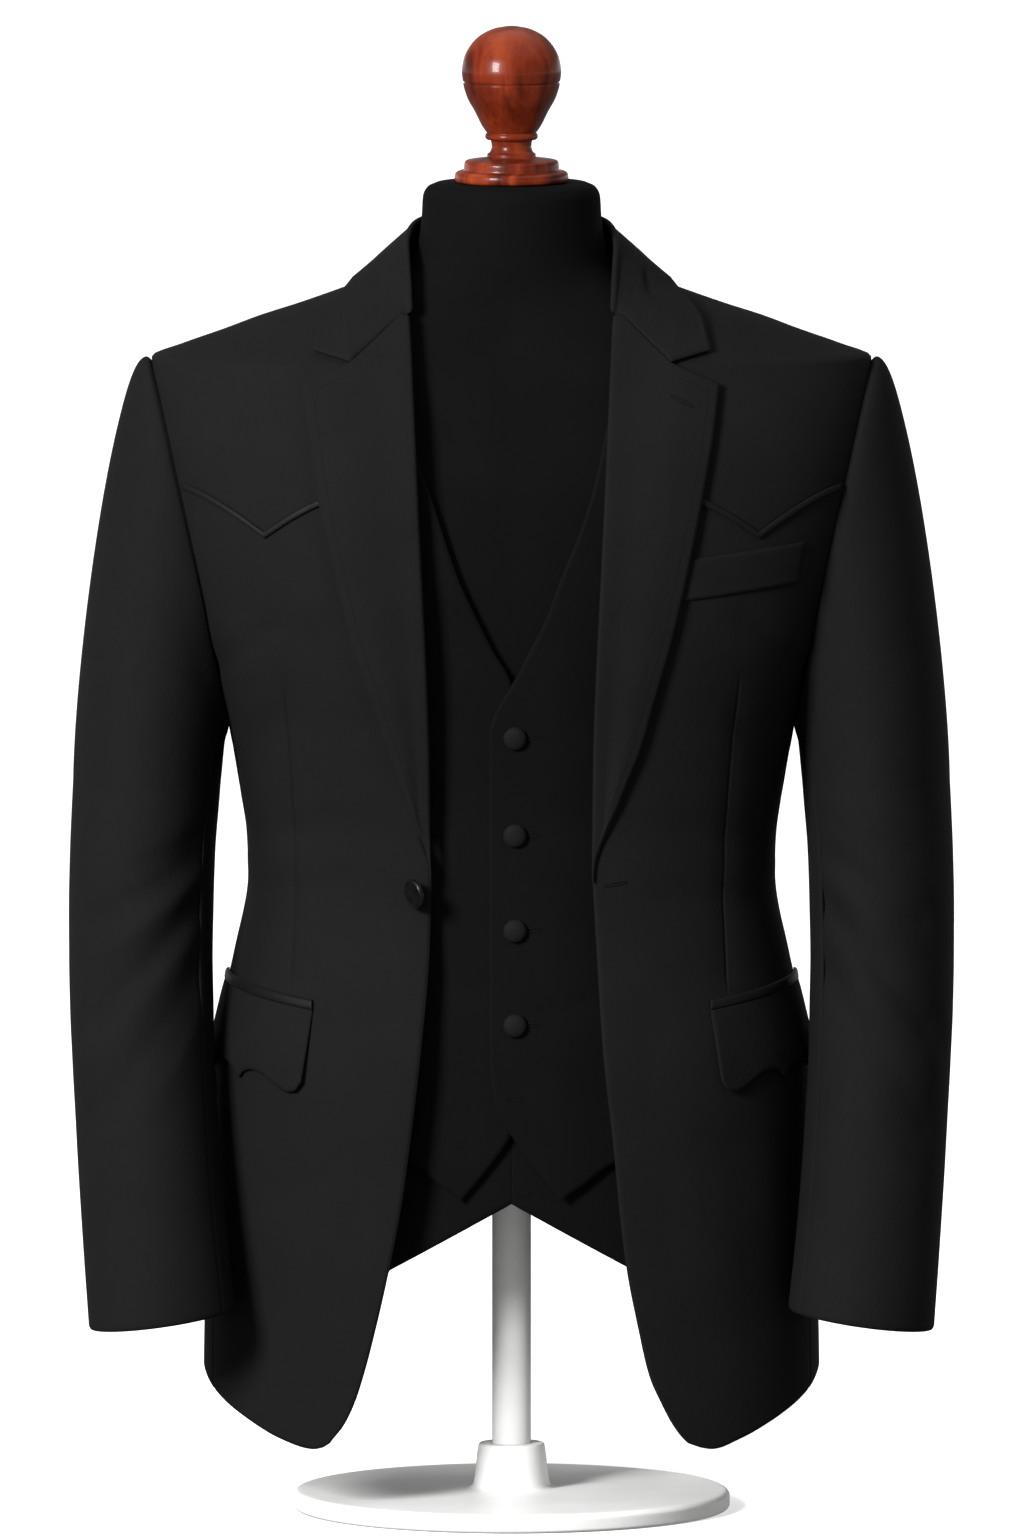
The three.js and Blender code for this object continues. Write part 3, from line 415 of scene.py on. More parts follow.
def edge_distance(grid, free):
    """How far each place of a grid is from the nearest of its free edges, such as "first row"."""
    nearest = np.full(grid.shape[:2], 1e3)
    for axis, kind in enumerate(("row", "column")):
        gaps = np.linalg.norm(np.diff(grid, axis=axis), axis=-1)
        gone = np.concatenate([np.zeros_like(gaps.take([0], axis)), gaps.cumsum(axis)], axis)
        if f"first {kind}" in free:
            nearest = np.minimum(nearest, gone)
        if f"last {kind}" in free:
            nearest = np.minimum(nearest, gone.take([-1], axis) - gone)
    return nearest


def shell(name, outer, inner, material, free=(), sign=1):
    """A thin closed wall of cloth between two grids of points, free edges rolled, rim rounded."""
    rows, count = outer.shape[:2]
    outer, inner = outer * [sign, 1, 1], inner * [sign, 1, 1]
    outer = lerp(outer, inner, EDGE_ROLL * bell(edge_distance(outer, free), 1.0)[..., None])
    up, along = np.arange(rows - 1), np.arange(count - 1)
    r = np.concatenate([0 * along, up, 0 * along + rows - 1, rows - 1 - up])
    c = np.concatenate([along, 0 * up + count - 1, count - 1 - along, 0 * up])
    inside_r, inside_c = np.clip(r, 1, rows - 2), np.clip(c, 1, count - 2)
    out = unit(outer[r, c] - outer[inside_r, inside_c])
    thick = np.linalg.norm(outer[r, c] - inner[r, c], axis=-1, keepdims=True)
    rims = [lerp(outer[r, c], inner[r, c], share) + out * thick * RIM_OUT for share in (0.22, 0.78)]
    size, ring = rows * count, len(r)
    points = np.concatenate([outer.reshape(-1, 3), inner.reshape(-1, 3), *rims])
    quads = [grid_quads(rows, count), grid_quads(rows, count, size)[:, ::-1]]
    edge = r * count + c
    loops = [edge, 2 * size + np.arange(ring), 2 * size + ring + np.arange(ring), size + edge]
    for one, two in zip(loops, loops[1:]):
        quads.append(np.stack([np.roll(one, -1), one, two, np.roll(two, -1)], -1))
    flow = flow_of(outer)
    flow = np.concatenate([flow, flow, flow[edge], flow[edge]])
    obj = piece(name, points, np.concatenate(quads), material, [name], flow)


def panel(name, body, angle, height, lift, thick, material, free=(), sign=1):
    """A panel laid on a body, with its wall inward from its points."""
    grids = [body.lay(angle, height, lift - deep) for deep in (0, thick)]
    shell(name, *grids, material, free, sign)


def turned(profile, count):
    """Rings of a lathe profile of (radius, height) rows."""
    turn = np.linspace(0, 2 * np.pi, count, endpoint=False)
    radius, height = np.array(profile, float).T
    x, y = radius[:, None] * np.cos(turn), radius[:, None] * np.sin(turn)
    return np.stack(np.broadcast_arrays(x, y, height[:, None]), -1)


def capped(rings):
    """Points and faces of a stack of rings closed at both ends."""
    rows, count = rings.shape[:2]
    points = np.concatenate([rings.reshape(-1, 3), rings[0].mean(0)[None], rings[-1].mean(0)[None]])
    k = np.arange(count)
    after, top = (k + 1) % count, (rows - 1) * count
    low, high = 0 * k + rows * count, 0 * k + rows * count + 1
    ends = [np.stack([after, k, low, low], -1), np.stack([top + k, top + after, high, high], -1)]
    return points, np.concatenate([grid_quads(rows, count, closed=True), *ends])


def rounded(profile, steps=4):
    """A profile with its corners softened, by a smooth curve through its points."""
    last = len(profile) - 1
    fine = np.linspace(0, last, last * steps + 1)
    return np.stack([smooth(list(enumerate(column)))(fine) for column in zip(*profile)], -1)


# ---- Materials ----


def new_material(name, sockets):
    """A material, its tree and its shader, with the sockets that hold one value all over."""
    material = bpy.data.materials.new(name)
    material.use_nodes = True
    tree = material.node_tree
    shader = next(n for n in tree.nodes if n.type == "BSDF_PRINCIPLED")
    for socket, value in sockets.items():
        shader.inputs[socket].default_value = value
    return material, tree, shader


def node(tree, kind, inputs=(), **settings):
    made = tree.nodes.new(kind)
    for key, value in settings.items():
        setattr(made, key, value)
    for key, value in dict(inputs).items():
        if isinstance(value, bpy.types.NodeSocket):
            tree.links.new(value, made.inputs[key])
        else:
            made.inputs[key].default_value = value
    return made


def noise(tree, place, scale, detail, distortion=0.0):
    inputs = {"Vector": place, "Scale": scale, "Detail": detail, "Distortion": distortion}
    return node(tree, "ShaderNodeTexNoise", inputs).outputs["Fac"]


def of_two(tree, one, two, operation="ADD"):
    return node(tree, "ShaderNodeMath", {0: one, 1: two}, operation=operation).outputs[0]


def remapped(tree, value, ends):
    return node(tree, "ShaderNodeMapRange", {"Value": value, **ends}).outputs["Result"]


def emboss(tree, shader, reliefs):
    """Presses reliefs (height, strength, depth in m) into a shader, one over the other."""
    normal = None
    for height, strength, depth in reliefs:
        inputs = {"Height": height, "Strength": strength, "Distance": depth}
        if normal:
            inputs["Normal"] = normal
        normal = node(tree, "ShaderNodeBump", inputs).outputs["Normal"]
    tree.links.new(normal, shader.inputs["Normal"])


def ramp(tree, value, low, high, stops):
    """Colours laid over a value between two levels."""
    made = node(tree, "ShaderNodeValToRGB", {"Fac": value})
    elements = made.color_ramp.elements
    while len(elements) < len(stops):
        elements.new(0.5)
    for element, (place, colour) in zip(elements, stops):
        element.position = lerp(low, high, place)
        element.color = (*colour, 1)
    return made.outputs["Color"]


def grey(level, tint=0.0):
    return (level, level, level * (1 + tint))


WEAVE_DEPTH = 0.0002


def cloth_material(name, dark, light, rough, sheen, ridged=1.0, pitch=1.0, gloss=0.03):
    """Fine woven cloth: crossing yarns, fine wandering ridges pressed into its face, and a soft nap."""
    sheens = {"Sheen Weight": sheen, "Sheen Roughness": 0.45, "Sheen Tint": (0.55, 0.55, 0.58, 1)}
    material, tree, shader = new_material(name, {**sheens, "Specular IOR Level": gloss})
    place = node(tree, "ShaderNodeTexCoord").outputs["Object"]
    uv = node(tree, "ShaderNodeUVMap", uv_map="cloth").outputs["UV"]
    fine, soft = noise(tree, uv, 900 / pitch, 3.0), noise(tree, place, 26.0, 3.0)
    ridges = []
    for scale, stray in ((130.0, 0.9), (190.0, 0.7)):
        off = of_two(tree, noise(tree, uv, scale, 0.5, stray), 0.5, "SUBTRACT")
        off = of_two(tree, off, 0.0, "ABSOLUTE")
        ridges.append(remapped(tree, off, {"From Max": 0.055, "To Min": 1.0, "To Max": 0.0}))
    patch = remapped(tree, noise(tree, uv, 120.0, 1.0), {"From Min": 0.36, "From Max": 0.54})
    squiggle = of_two(tree, of_two(tree, *ridges, "MAXIMUM"), patch, "MULTIPLY")
    waves = []
    for turn in (0.785, -0.785):
        spun = node(tree, "ShaderNodeMapping", {"Vector": uv, "Rotation": (0, 0, turn)}).outputs["Vector"]
        inputs = {"Vector": spun, "Scale": 640.0 / pitch, "Distortion": 1.2, "Detail": 1.0}
        waves.append(node(tree, "ShaderNodeTexWave", inputs).outputs["Fac"])
    twill = of_two(tree, *waves, "MULTIPLY")
    tone = of_two(tree, of_two(tree, fine, soft), 0.5, "MULTIPLY")
    tree.links.new(ramp(tree, tone, 0.3, 0.72, [(0, dark), (1, light)]), shader.inputs["Base Color"])
    rougher = remapped(tree, fine, {"To Min": rough - 0.08, "To Max": rough + 0.08})
    tree.links.new(rougher, shader.inputs["Roughness"])
    reliefs = ((squiggle, 0.5 * ridged), (fine, 0.3), (twill, 0.3))
    emboss(tree, shader, [(*relief, WEAVE_DEPTH) for relief in reliefs])
    return material


SUITING = cloth_material("suiting", grey(0.0062, 0.01), grey(0.0078, 0.01), 0.74, 0.004)
# The jacket's suiting made darker for the vest and trouser tops: painted shade for their place under the
# jacket, not a different cloth.
PAINTED_SHADE_SUITING = cloth_material("suiting_painted_shade", grey(0.0027, 0.01), grey(0.0037, 0.01), 0.74, 0.003, 0.45)
SATIN = cloth_material("satin_trim", grey(0.005, 0.01), grey(0.0062, 0.01), 0.45, 0.004, 0.3, 1.0, 0.06)
FORM_CLOTH = cloth_material("form_cloth", grey(0.0026, 0.02), grey(0.0036, 0.02), 0.85, 0.002, 0.3, 1.4)
COVERED = cloth_material("covered_button", grey(0.006, 0.01), grey(0.008, 0.01), 0.6, 0.004, 0.5, 0.8)


def grained_material(name, scale, detail, stops, relief, sockets, fine=None):
    """A colour and a relief that follow one noise, or a relief that follows a finer one (scale, detail)."""
    material, tree, shader = new_material(name, sockets)
    place = node(tree, "ShaderNodeTexCoord").outputs["Object"]
    grain = noise(tree, place, scale, detail)
    tree.links.new(ramp(tree, grain, 0.3, 0.7, stops), shader.inputs["Base Color"])
    emboss(tree, shader, [(noise(tree, place, *fine) if fine else grain, *relief)])
    return material


# Thread darker than the cloth: the black thread's own tone with painted shade for the dimples the stitches
# sink into.
THREAD_TONES_WITH_PAINTED_SHADE = [(0, grey(0.0022)), (1, grey(0.005))]
THREAD_GLOSS = {"Roughness": 0.5, "Specular IOR Level": 0.06}
THREAD = grained_material("thread", 1800.0, 2.0, THREAD_TONES_WITH_PAINTED_SHADE, (0.4, 0.0002), THREAD_GLOSS)
HORN_TONES = [(0, grey(0.0025)), (1, grey(0.006))]
HORN_GLOSS = {"Roughness": 0.3, "Specular IOR Level": 0.2}
HORN = grained_material("horn", 160.0, 4.0, HORN_TONES, (0.1, 0.0004), HORN_GLOSS)
PAINT_TONES = [(0, (0.78, 0.78, 0.77)), (1, (0.86, 0.86, 0.85))]
PAINT_GLOSS, ORANGE_PEEL = {"Roughness": 0.42}, (700.0, 2.0)
PAINT = grained_material("stand_paint", 30.0, 4.0, PAINT_TONES, (0.08, 0.0004), PAINT_GLOSS, ORANGE_PEEL)
LACQUER = {
    "Roughness": 0.3,
    "Specular IOR Level": 0.1,
    "Coat Weight": 0.09,
    "Coat Roughness": 0.06,
}
WOOD_TONES = [
    (0, (0.02, 0.0028, 0.001)),
    (0.3, (0.08, 0.009, 0.0026)),
    (0.6, (0.135, 0.017, 0.005)),
    (1, (0.21, 0.032, 0.008)),
]


def wood_material():
    """Glossy mahogany: long dark streaks and pores under a clear lacquer."""
    material, tree, shader = new_material("turned_wood", LACQUER)
    place = node(tree, "ShaderNodeTexCoord").outputs["Object"]

    def grain(stretch, spin, detail, distortion):
        spun = node(tree, "ShaderNodeMapping", {"Vector": place, "Scale": stretch, "Rotation": spin})
        return noise(tree, spun.outputs["Vector"], 1.0, detail, distortion)

    streaks = grain((38, 38, 7), (0.35, 0.5, 0.3), 5.0, 1.4)
    pores = grain((420, 420, 60), (0, 0, 0), 3.0, 0.0)
    mixed = of_two(tree, streaks, of_two(tree, pores, 0.16, "MULTIPLY"))
    tree.links.new(ramp(tree, mixed, 0.36, 0.78, WOOD_TONES), shader.inputs["Base Color"])
    emboss(tree, shader, [(pores, 0.12, 0.0003)])
    return material


WOOD = wood_material()

# ---- Jacket ----

ROLL_LINE = [(423, 51), (500, 52), (545, 53.5), (597, 56), (648, 58.5), (725, 62), (765, 64), (790, 66)]
roll_line = smooth(ROLL_LINE)
FRONT_EDGE = by_side(
    "rl",
    [
        (50, 119, 121), (56, 115.5, 112), (66, 107.8, 104), (82, 100.2, 95.5), (98, 95, 88.5),
        (130, 86.7, 81), (167, 78.4, 73.8), (211, 70.1, 68.5), (243, 65.6, 65.6), (307, 58, 58.6),
        (372, 52.4, 54.4), (423, 51, 51.4),
    ],
)
LAPEL_EDGE = by_side(
    "rl",
    [
        (414, 51.8, 52.2), (423, 52.3, 53), (434, 54.2, 55.4), (445, 58.3, 59.6), (461, 64.8, 66.4),
        (481, 72, 74), (500, 78.5, 81.5), (532, 89.3, 90.4), (571, 102, 101.5), (622, 114.2, 113),
        (660, 122.6, 120.6), (704, 129, 128.3), (730, 133.4, 131.5),
    ],
)
YOKE_POINT = 157
yoke_inner = smooth([(60, 669), (100, 663), (121, 656.5), (138, 647.5), (157, 634.5)])
yoke_outer = smooth([(157, 634.5), (175, 646.5), (190, 655), (200, 659.5), (212, 663)])
front_hem = smooth(
    [
        (0, 54.8), (0.03, 51.7), (0.08, 50.5), (0.15, 51.3), (0.2, 52.5), (0.3, 55.4), (0.4, 58.6),
        (0.49, 62), (0.6, 66.3), (0.7, 70.3), (0.8, 74.2), (0.9, 78.2), (1, 82),
    ]
)
back_hem = smooth([(0, 97), (0.6, 96), (0.85, 91), (1, 82)])


def yoke_seam(x):
    return np.where(x < YOKE_POINT, yoke_inner(x), yoke_outer(x))


def side_seam(height):
    return np.radians(lerp(74, 90, ease(height, 100, ARMPIT)))


def quarter_and_hole(body, armhole, height, front):
    """The angle of the shoulder seam and that of the armhole, on the front or the back of a body."""
    quarter = np.pi / 2 - SEAM_ANGLE if front else np.pi / 2 + SEAM_ANGLE
    hole = body.angle_at(armhole(height), height, front)
    return quarter, np.minimum(hole, quarter) if front else np.maximum(hole, quarter)


def outer_angle(height, front):
    """Where a panel ends: at its side seam, its armhole or the shoulder seam."""
    quarter, hole = quarter_and_hole(JACKET, armhole_out, height, front)
    low = side_seam(height) + quarter - np.pi / 2
    return np.where(height <= ARMPIT, low, np.where(armhole_reach(height) > 0, hole, quarter))


def inner_edge(side, height):
    turned_under = roll_line(height) + LAPEL_TURN
    return lerp(FRONT_EDGE[side](height), turned_under, ease(height, FOLD_STARTS, FOLD_FULL))


def front_angle(side, u, height):
    return lerp(JACKET.angle_at(inner_edge(side, height), height), outer_angle(height, True), u)


def yoke_height(side, u):
    level = np.full_like(u, 650.0)
    return yoke_seam(JACKET.at(front_angle(side, u, level), level)[..., 0])


# The dart: its place out from the middle by height, on each front.
DART = {
    "r": smooth([(341, 141), (404, 138.6), (442, 139.2), (481, 141.1), (519, 143.7), (555, 146.9)]),
    "l": smooth([(341, 137.9), (404, 136), (442, 137), (481, 139.5), (519, 143), (552, 146.2)]),
}
DART_NEAR = np.array([-6, -3, -1.6, -0.8, -0.3, 0.3, 0.8, 1.6, 3, 6])
# About how far round each panel goes.
FRONT_SPAN, BACK_SPAN, TROUSER_SPAN = 190.0, 200, 160
EDGE_NEAR = (0.002, 0.005, 0.01, 0.018)
ROW_NEAR = (0.001, 0.003, 0.006)


def rolled(distance, deep=0.5, wide=1.5):
    """How far cloth dips into a seam some mm away."""
    return -deep * bell(distance, wide)


def below_armpit(height):
    return 1 - ease(height, ARMPIT - 8, ARMPIT)


def jacket_front(side, sign):
    skirt = spread(118, ROW_NEAR)
    skirt = skirt[skirt < 1]
    low = np.linspace(0, 1, 25)[:-1]
    chest = spread(44, (0.004, 0.01, 0.02))
    nominal = [lerp(66, LAPEL_FOOT, skirt), lerp(LAPEL_FOOT, ARMPIT, low), lerp(ARMPIT, 650, chest)]
    nominal = np.concatenate(nominal)
    inner = JACKET.angle_at(inner_edge(side, nominal), nominal)
    outer = outer_angle(nominal, True)
    dart = (JACKET.angle_at(DART[side](nominal), nominal) - inner) / (outer - inner)
    offsets = DART_NEAR / FRONT_SPAN
    left = spread(30, EDGE_NEAR)[None] * (dart + offsets[0])[:, None]
    right = 1 - (1 - dart - offsets[-1])[:, None] * spread(18, (0.01, 0.03))[::-1][None]
    u = np.concatenate([left[:, :-1], dart[:, None] + offsets[None], right[:, 1:]], 1)
    top = yoke_height(side, u) - SEAM / 2
    split = len(skirt), len(skirt) + len(low)
    height = np.empty_like(u)
    height[: split[0]] = lerp(front_hem(u[: split[0]]), LAPEL_FOOT, skirt[:, None])
    height[split[0] : split[1]] = lerp(LAPEL_FOOT, ARMPIT, low)[:, None]
    height[split[1] :] = lerp(ARMPIT, top[split[1] :], chest[:, None])
    away = (u - dart[:, None]) * FRONT_SPAN
    open_to = ease(height, 338, 356) * (1 - ease(height, 520, 553))
    dip = -open_to * (1.1 * bell(away, 0.9) + 0.9 * bell(away, 9))
    dip += rolled((1 - u) * FRONT_SPAN) * below_armpit(height)
    place, free = (front_angle(side, u, height), height, dip), ("first row", "first column")
    panel(f"jacket_front_{side}", JACKET, *place, JACKET_CLOTH, SUITING, free, sign)


def jacket_yoke(side, sign):
    over = spread(30, (0.004, 0.012))[:, None]
    ridge = np.linspace(0, 1, 30)[1:, None]
    u = spread(58, EDGE_NEAR)[None]
    low = lerp(yoke_height(side, u) + SEAM / 2, ARM_TOP, over)
    high = lerp(ARM_TOP, NECK_TOP, ridge) + 0 * u
    height = np.concatenate([low, high])
    u = np.broadcast_to(u, height.shape)
    angle = front_angle(side, u, height)
    panel(f"jacket_yoke_{side}", JACKET, angle, height, 0.0, JACKET_CLOTH, SUITING, (), sign)


VENT_TOP, VENT_SPREAD = 315, 0.45


def jacket_back(side, sign):
    skirt = spread(110, ROW_NEAR)[:-1, None]
    chest = np.linspace(0, 1, 64)[:-1, None]
    ridge = np.linspace(0, 1, 30)[:, None]
    u = spread(50, EDGE_NEAR)[None]
    high = [lerp(ARMPIT, ARM_TOP, chest) + 0 * u, lerp(ARM_TOP, NECK_TOP, ridge) + 0 * u]
    height = np.concatenate([lerp(back_hem(u), ARMPIT, skirt), *high])
    u = np.broadcast_to(u, height.shape)
    edge = np.maximum(SEAM / 2, (VENT_TOP - height) * VENT_SPREAD)
    angle = lerp(JACKET.angle_at(edge, height, False), outer_angle(height, False), u)
    sewn = ease(height, VENT_TOP - 4, VENT_TOP + 4)
    dip = rolled(u * BACK_SPAN) * sewn + rolled((1 - u) * BACK_SPAN) * below_armpit(height)
    panel(f"jacket_back_{side}", JACKET, angle, height, dip, JACKET_CLOTH, SUITING, ("first row",), sign)


TURN_RADIUS = JACKET_CLOTH + LAPEL_LIE / 2
TURN_LIFT = LAPEL_LIE / 2
NOTCH_SHARE, NOTCH_HEIGHT = 0.5, 742.5
GORGE_TOP, GORGE_TIP = 772.6, 728.8
LAPEL_PROUD = 2.6


def lapel_lift(u, v):
    """How far the lapel lies off the front: more towards its outer edge."""
    proud = LAPEL_PROUD * ease(u, 0.1, 0.7) * ease(v, 0.02, 0.22)
    return LAPEL_LIE * lerp(0.4, 1, ease(v, 0, 0.06)) + proud


def gorge_height(u):
    seam = lerp(GORGE_TOP, NOTCH_HEIGHT, u / NOTCH_SHARE)
    top = lerp(NOTCH_HEIGHT, GORGE_TIP, (u - NOTCH_SHARE) / (1 - NOTCH_SHARE))
    return np.where(u < NOTCH_SHARE, seam, top)


def lapel_width(side, v):
    edge = lerp(LAPEL_FOOT + 3, GORGE_TIP, v)
    return LAPEL_EDGE[side](edge) - roll_line(lerp(LAPEL_FOOT, GORGE_TOP, v))


def lapel_height(u, v):
    straight = lerp(lerp(LAPEL_FOOT + 0.5, GORGE_TOP, v), lerp(LAPEL_FOOT + 3, GORGE_TIP, v), u)
    return straight + (gorge_height(u) - lerp(GORGE_TOP, GORGE_TIP, u)) * v**4


def lapel_place(v, u, out, lift):
    height = lapel_height(u, v)
    x = roll_line(lapel_height(0 * u, v)) + out
    return JACKET.lay(JACKET.angle_at(x, height), height, lift)


def on_lapel(side, v, u, lift=0.0):
    """A place on the lapel's face."""
    width = lapel_width(side, v)
    out = lerp(np.minimum(LAPEL_TURN, 0.6 * width), width, u)
    return lapel_place(v, u, out, lapel_lift(u, v) + JACKET_CLOTH + lift)


def lapel(side, sign):
    v = spread(110, ROW_NEAR)[:, None]
    u = spread(30, (0.006, 0.015, 0.03))[None, ::-1]
    degrees = np.radians(np.linspace(90, 270, 13))[None]

    fold = ease(lapel_height(0 * v, v), FOLD_STARTS - 4, FOLD_FULL)
    slim = np.minimum(1, 0.6 * lapel_width(side, v) / LAPEL_TURN)

    def skin(outside):
        radius = TURN_RADIUS if outside else LAPEL_LIE / 2
        thick = JACKET_CLOTH if outside else 0.0
        flat = on_lapel(side, v, u, thick - JACKET_CLOTH)
        out = (TURN_RADIUS + radius * np.cos(degrees)) * slim
        lift = TURN_LIFT + radius * np.sin(degrees)
        rise = 1 + np.sin(degrees)
        above = 0.3 + 0.3 * rise + (JACKET_CLOTH * rise / 2 if outside else 0.3)
        round_it = lapel_place(v, 0 * degrees, out, lerp(above, lift, fold))
        under = lerp(0.3 if outside else 0.6, -JACKET_CLOTH if outside else 0.0, fold)
        last = lapel_place(v, np.zeros((1, 1)), (LAPEL_TURN - SEAM) * slim, under)
        return np.concatenate([flat, round_it, last], 1)

    shell(f"lapel_{side}", skin(True), skin(False), SUITING, ("last row", "first column"), sign)


# Foot (degrees round, height), fold (x, y, z), edge (degrees round, height, lift) and the leaf's dip.
COLLAR = [
    ((26.9, 773.5), (63.5, -66.5, 775.6), (34.7, 749.2, 4.5), 1),
    ((36, 783), (64.5, -59, 789), (47, 767, 3.8), 0.5),
    ((48, 791), (66, -42, 804), (62, 778.5, 3), 0.2),
    ((72, 796.3), (66.5, -22, 815), (78, 785, 2.4), 0),
    ((90, 796.5), (65, 0, 821.5), (92, 787, 2.8), 0),
    ((112, 796.5), (61, 22, 826), (112, 784.5, 2.8), 0),
    ((133, 796.5), (48, 43, 829.5), (134, 779, 2.8), 0),
    ((155, 796.5), (27, 58, 832), (157, 774.5, 2.8), 0),
    ((180, 796.5), (0, 63, 833), (180, 773, 2.8), 0),
]
# Places along the leaf's end, where it meets the gorge seam, and where the notch is.
LEAF_SHARES = (0.1, 0.22, 0.34, 0.46, 0.56, 0.62, 0.68, 0.78, 0.88, 0.95, 1)
LEAF_MEETS, LEAF_NOTCH = 0.22, 0.62
leaf_dip = smooth([(0, 0), (0.3, 6.5), (0.62, 15.6), (0.81, 7.8), (1, 0)])


def clear_of_jacket(point, lift, outward):
    """Moves a point out of the shoulders to lie `lift` off them, away from the neck where outward is 1."""
    if point[2] > 796:
        return point
    front = point[1] < 0
    depth, half, power = JACKET.section(point[2], front)
    size = ((abs(point[0]) / half) ** power + (abs(point[1]) / depth) ** power) ** (1 / power)
    angle = JACKET.angle_at(point[0] / size**outward, point[2], front)
    surface, lifted = JACKET.lay(angle, point[2], 0.0), JACKET.lay(angle, point[2], lift)
    return lifted if (point - surface) @ (lifted - surface) / lift < lift else point


def gorge_row(side, start, tip):
    """The leaf's end: just over the lapel's upper edge as far as the notch, then straight out to its tip."""
    row = []
    for share in LEAF_SHARES:
        u = np.array(NOTCH_SHARE * min(1, share / LEAF_NOTCH))
        height = lapel_height(u, 1.0) + 0.45
        out = lerp(LAPEL_TURN, lapel_width(side, 1.0), u)
        x = roll_line(lapel_height(0.0, 1.0)) + out
        seam = JACKET.lay(JACKET.angle_at(x, height), height, lapel_lift(u, 1.0) + JACKET_CLOTH / 2)
        if share <= LEAF_NOTCH:
            row.append(lerp(start, seam, min(1, share / LEAF_MEETS)))
            notch = seam
        else:
            row.append(lerp(notch, tip, (share - LEAF_NOTCH) / (1 - LEAF_NOTCH)))
    return row


def collar_line(side, foot, fold, edge, sink):
    """One line across the collar: up its stand, over its fold and down its leaf."""
    foot = JACKET.lay(math.radians(foot[0]), foot[1], -JACKET_CLOTH / 2)
    lift = edge[2]
    edge = JACKET.lay(math.radians(edge[0]), edge[1], lift)
    fold = np.array(fold, float)
    up = unit(fold - foot)
    out = edge - fold
    out = unit(out - up * (out @ up))
    turn = JACKET_CLOTH / 2 + 0.5

    def at(down, aside):
        return fold - up * down + out * aside

    start = at(3.6, turn)
    leaf = []
    for share in LEAF_SHARES:
        point = lerp(start, edge, share) - np.array([0, 0, sink * leaf_dip(share)])
        leaf.append(clear_of_jacket(point, lerp(2.8, lift, share), 1 - sink) if share < 1 else point)
    if sink == 1:
        leaf = gorge_row(side, start, edge)
    stand = [lerp(foot, at(3.6, -turn), share) for share in (0, 0.5)]
    over = [at(3.6, -turn), at(0.9, -turn * 0.75), at(0, 0), at(0.9, turn * 0.75), start]
    return np.array(stand + over + leaf)


def refined(grid, knots, fine):
    """A coarse grid of points read smoothly along its first axis."""
    flat = grid.reshape(len(grid), -1)
    made = np.stack([smooth(list(zip(knots, flat[:, k])))(fine) for k in range(flat.shape[1])], -1)
    return made.reshape((len(fine),) + grid.shape[1:])


def collar_grid():
    right, left = (np.array([collar_line(side, *station) for station in COLLAR]) for side in "rl")
    grid = np.concatenate([right * [-1, 1, 1], left[-2::-1]])
    for shares in (spread(116, (0.0008, 0.0018, 0.004)), spread(72, (0.001, 0.003, 0.006))):
        last = len(grid) - 1
        grid = np.swapaxes(refined(grid, np.arange(last + 1), shares * last), 0, 1)
    return grid


def collar():
    grid = collar_grid()
    along, across = np.gradient(grid, axis=0), np.gradient(grid, axis=1)
    half = unit(np.cross(along, across)) * JACKET_CLOTH / 2
    shell("collar", grid + half, grid - half, SUITING, ("first row", "last row", "last column"))


def on_front(x, height, lift):
    return JACKET.lay(JACKET.angle_at(x, height), height, lift)


PIPING_WIDTH, PIPING_THICK = 4, 1.2


def yoke_piping(side, sign):
    share = np.linspace(0, 1, 13)[:, None]
    x = np.linspace(112, 209, 121)[None]
    height = yoke_seam(x) + PIPING_WIDTH * (share - 0.25)
    crown = 0.6 * np.sqrt(np.clip(1 - (2 * share - 1) ** 2, 0, 1)) - 0.2
    x = x + 0 * share
    grids = [on_front(x, height, lift) for lift in (LIE + PIPING_THICK + crown + 0 * x, LIE + 0 * x)]
    shell(f"yoke_piping_{side}", *grids, SATIN, (), sign)


WELT = {"inner": 103, "outer": 186, "slope": 0.118, "top": 620, "height": 25.5, "lean": 4}


def welt_place(u, down, lift):
    x = lerp(WELT["inner"], WELT["outer"], u) - WELT["lean"] * down
    height = WELT["top"] + WELT["slope"] * (x - WELT["inner"]) - WELT["height"] * down
    return on_front(x, height, lift)


def breast_welt():
    down = spread(22, (0.02,))[:, None]
    u = spread(60, (0.005,))[None]
    lift = LIE + LIGHT_CLOTH + 0.4 * bell((1 - down) * 25, 3) + 0 * u
    grids = [welt_place(u + 0 * down, down + 0 * u, lift - deep) for deep in (0, LIGHT_CLOTH)]
    shell("breast_welt", *grids, SUITING, ("first row", "last row", "first column", "last column"))


POCKET = {"from": 126.5, "length": 120, "height": 337.5, "jet": 6.5}
pocket_rise = smooth([(0, 0), (40, 5.2), (75, 9.2), (100, 10.2), (120, 10.2)])
FLAP_LEAN = 6.5
flap_drop = smooth(
    [
        (0, 46), (6, 52.5), (13, 54), (24, 50.8), (34, 46.8), (44, 45.6), (53, 48), (60, 53), (67, 48),
        (76, 45.6), (86, 46.8), (96, 50.8), (107, 54), (114, 52.5), (120, 46),
    ]
)


def hip_place(along, down, lift):
    """A place on the hip, some mm round from the pocket's front end and some mm down from its top line."""
    along, down = np.broadcast_arrays(along, down)
    height = POCKET["height"] + pocket_rise(along) - down
    start = JACKET.angle_at(POCKET["from"], height)
    return JACKET.lay(JACKET.walk(start, height, along, 200), height, lift)


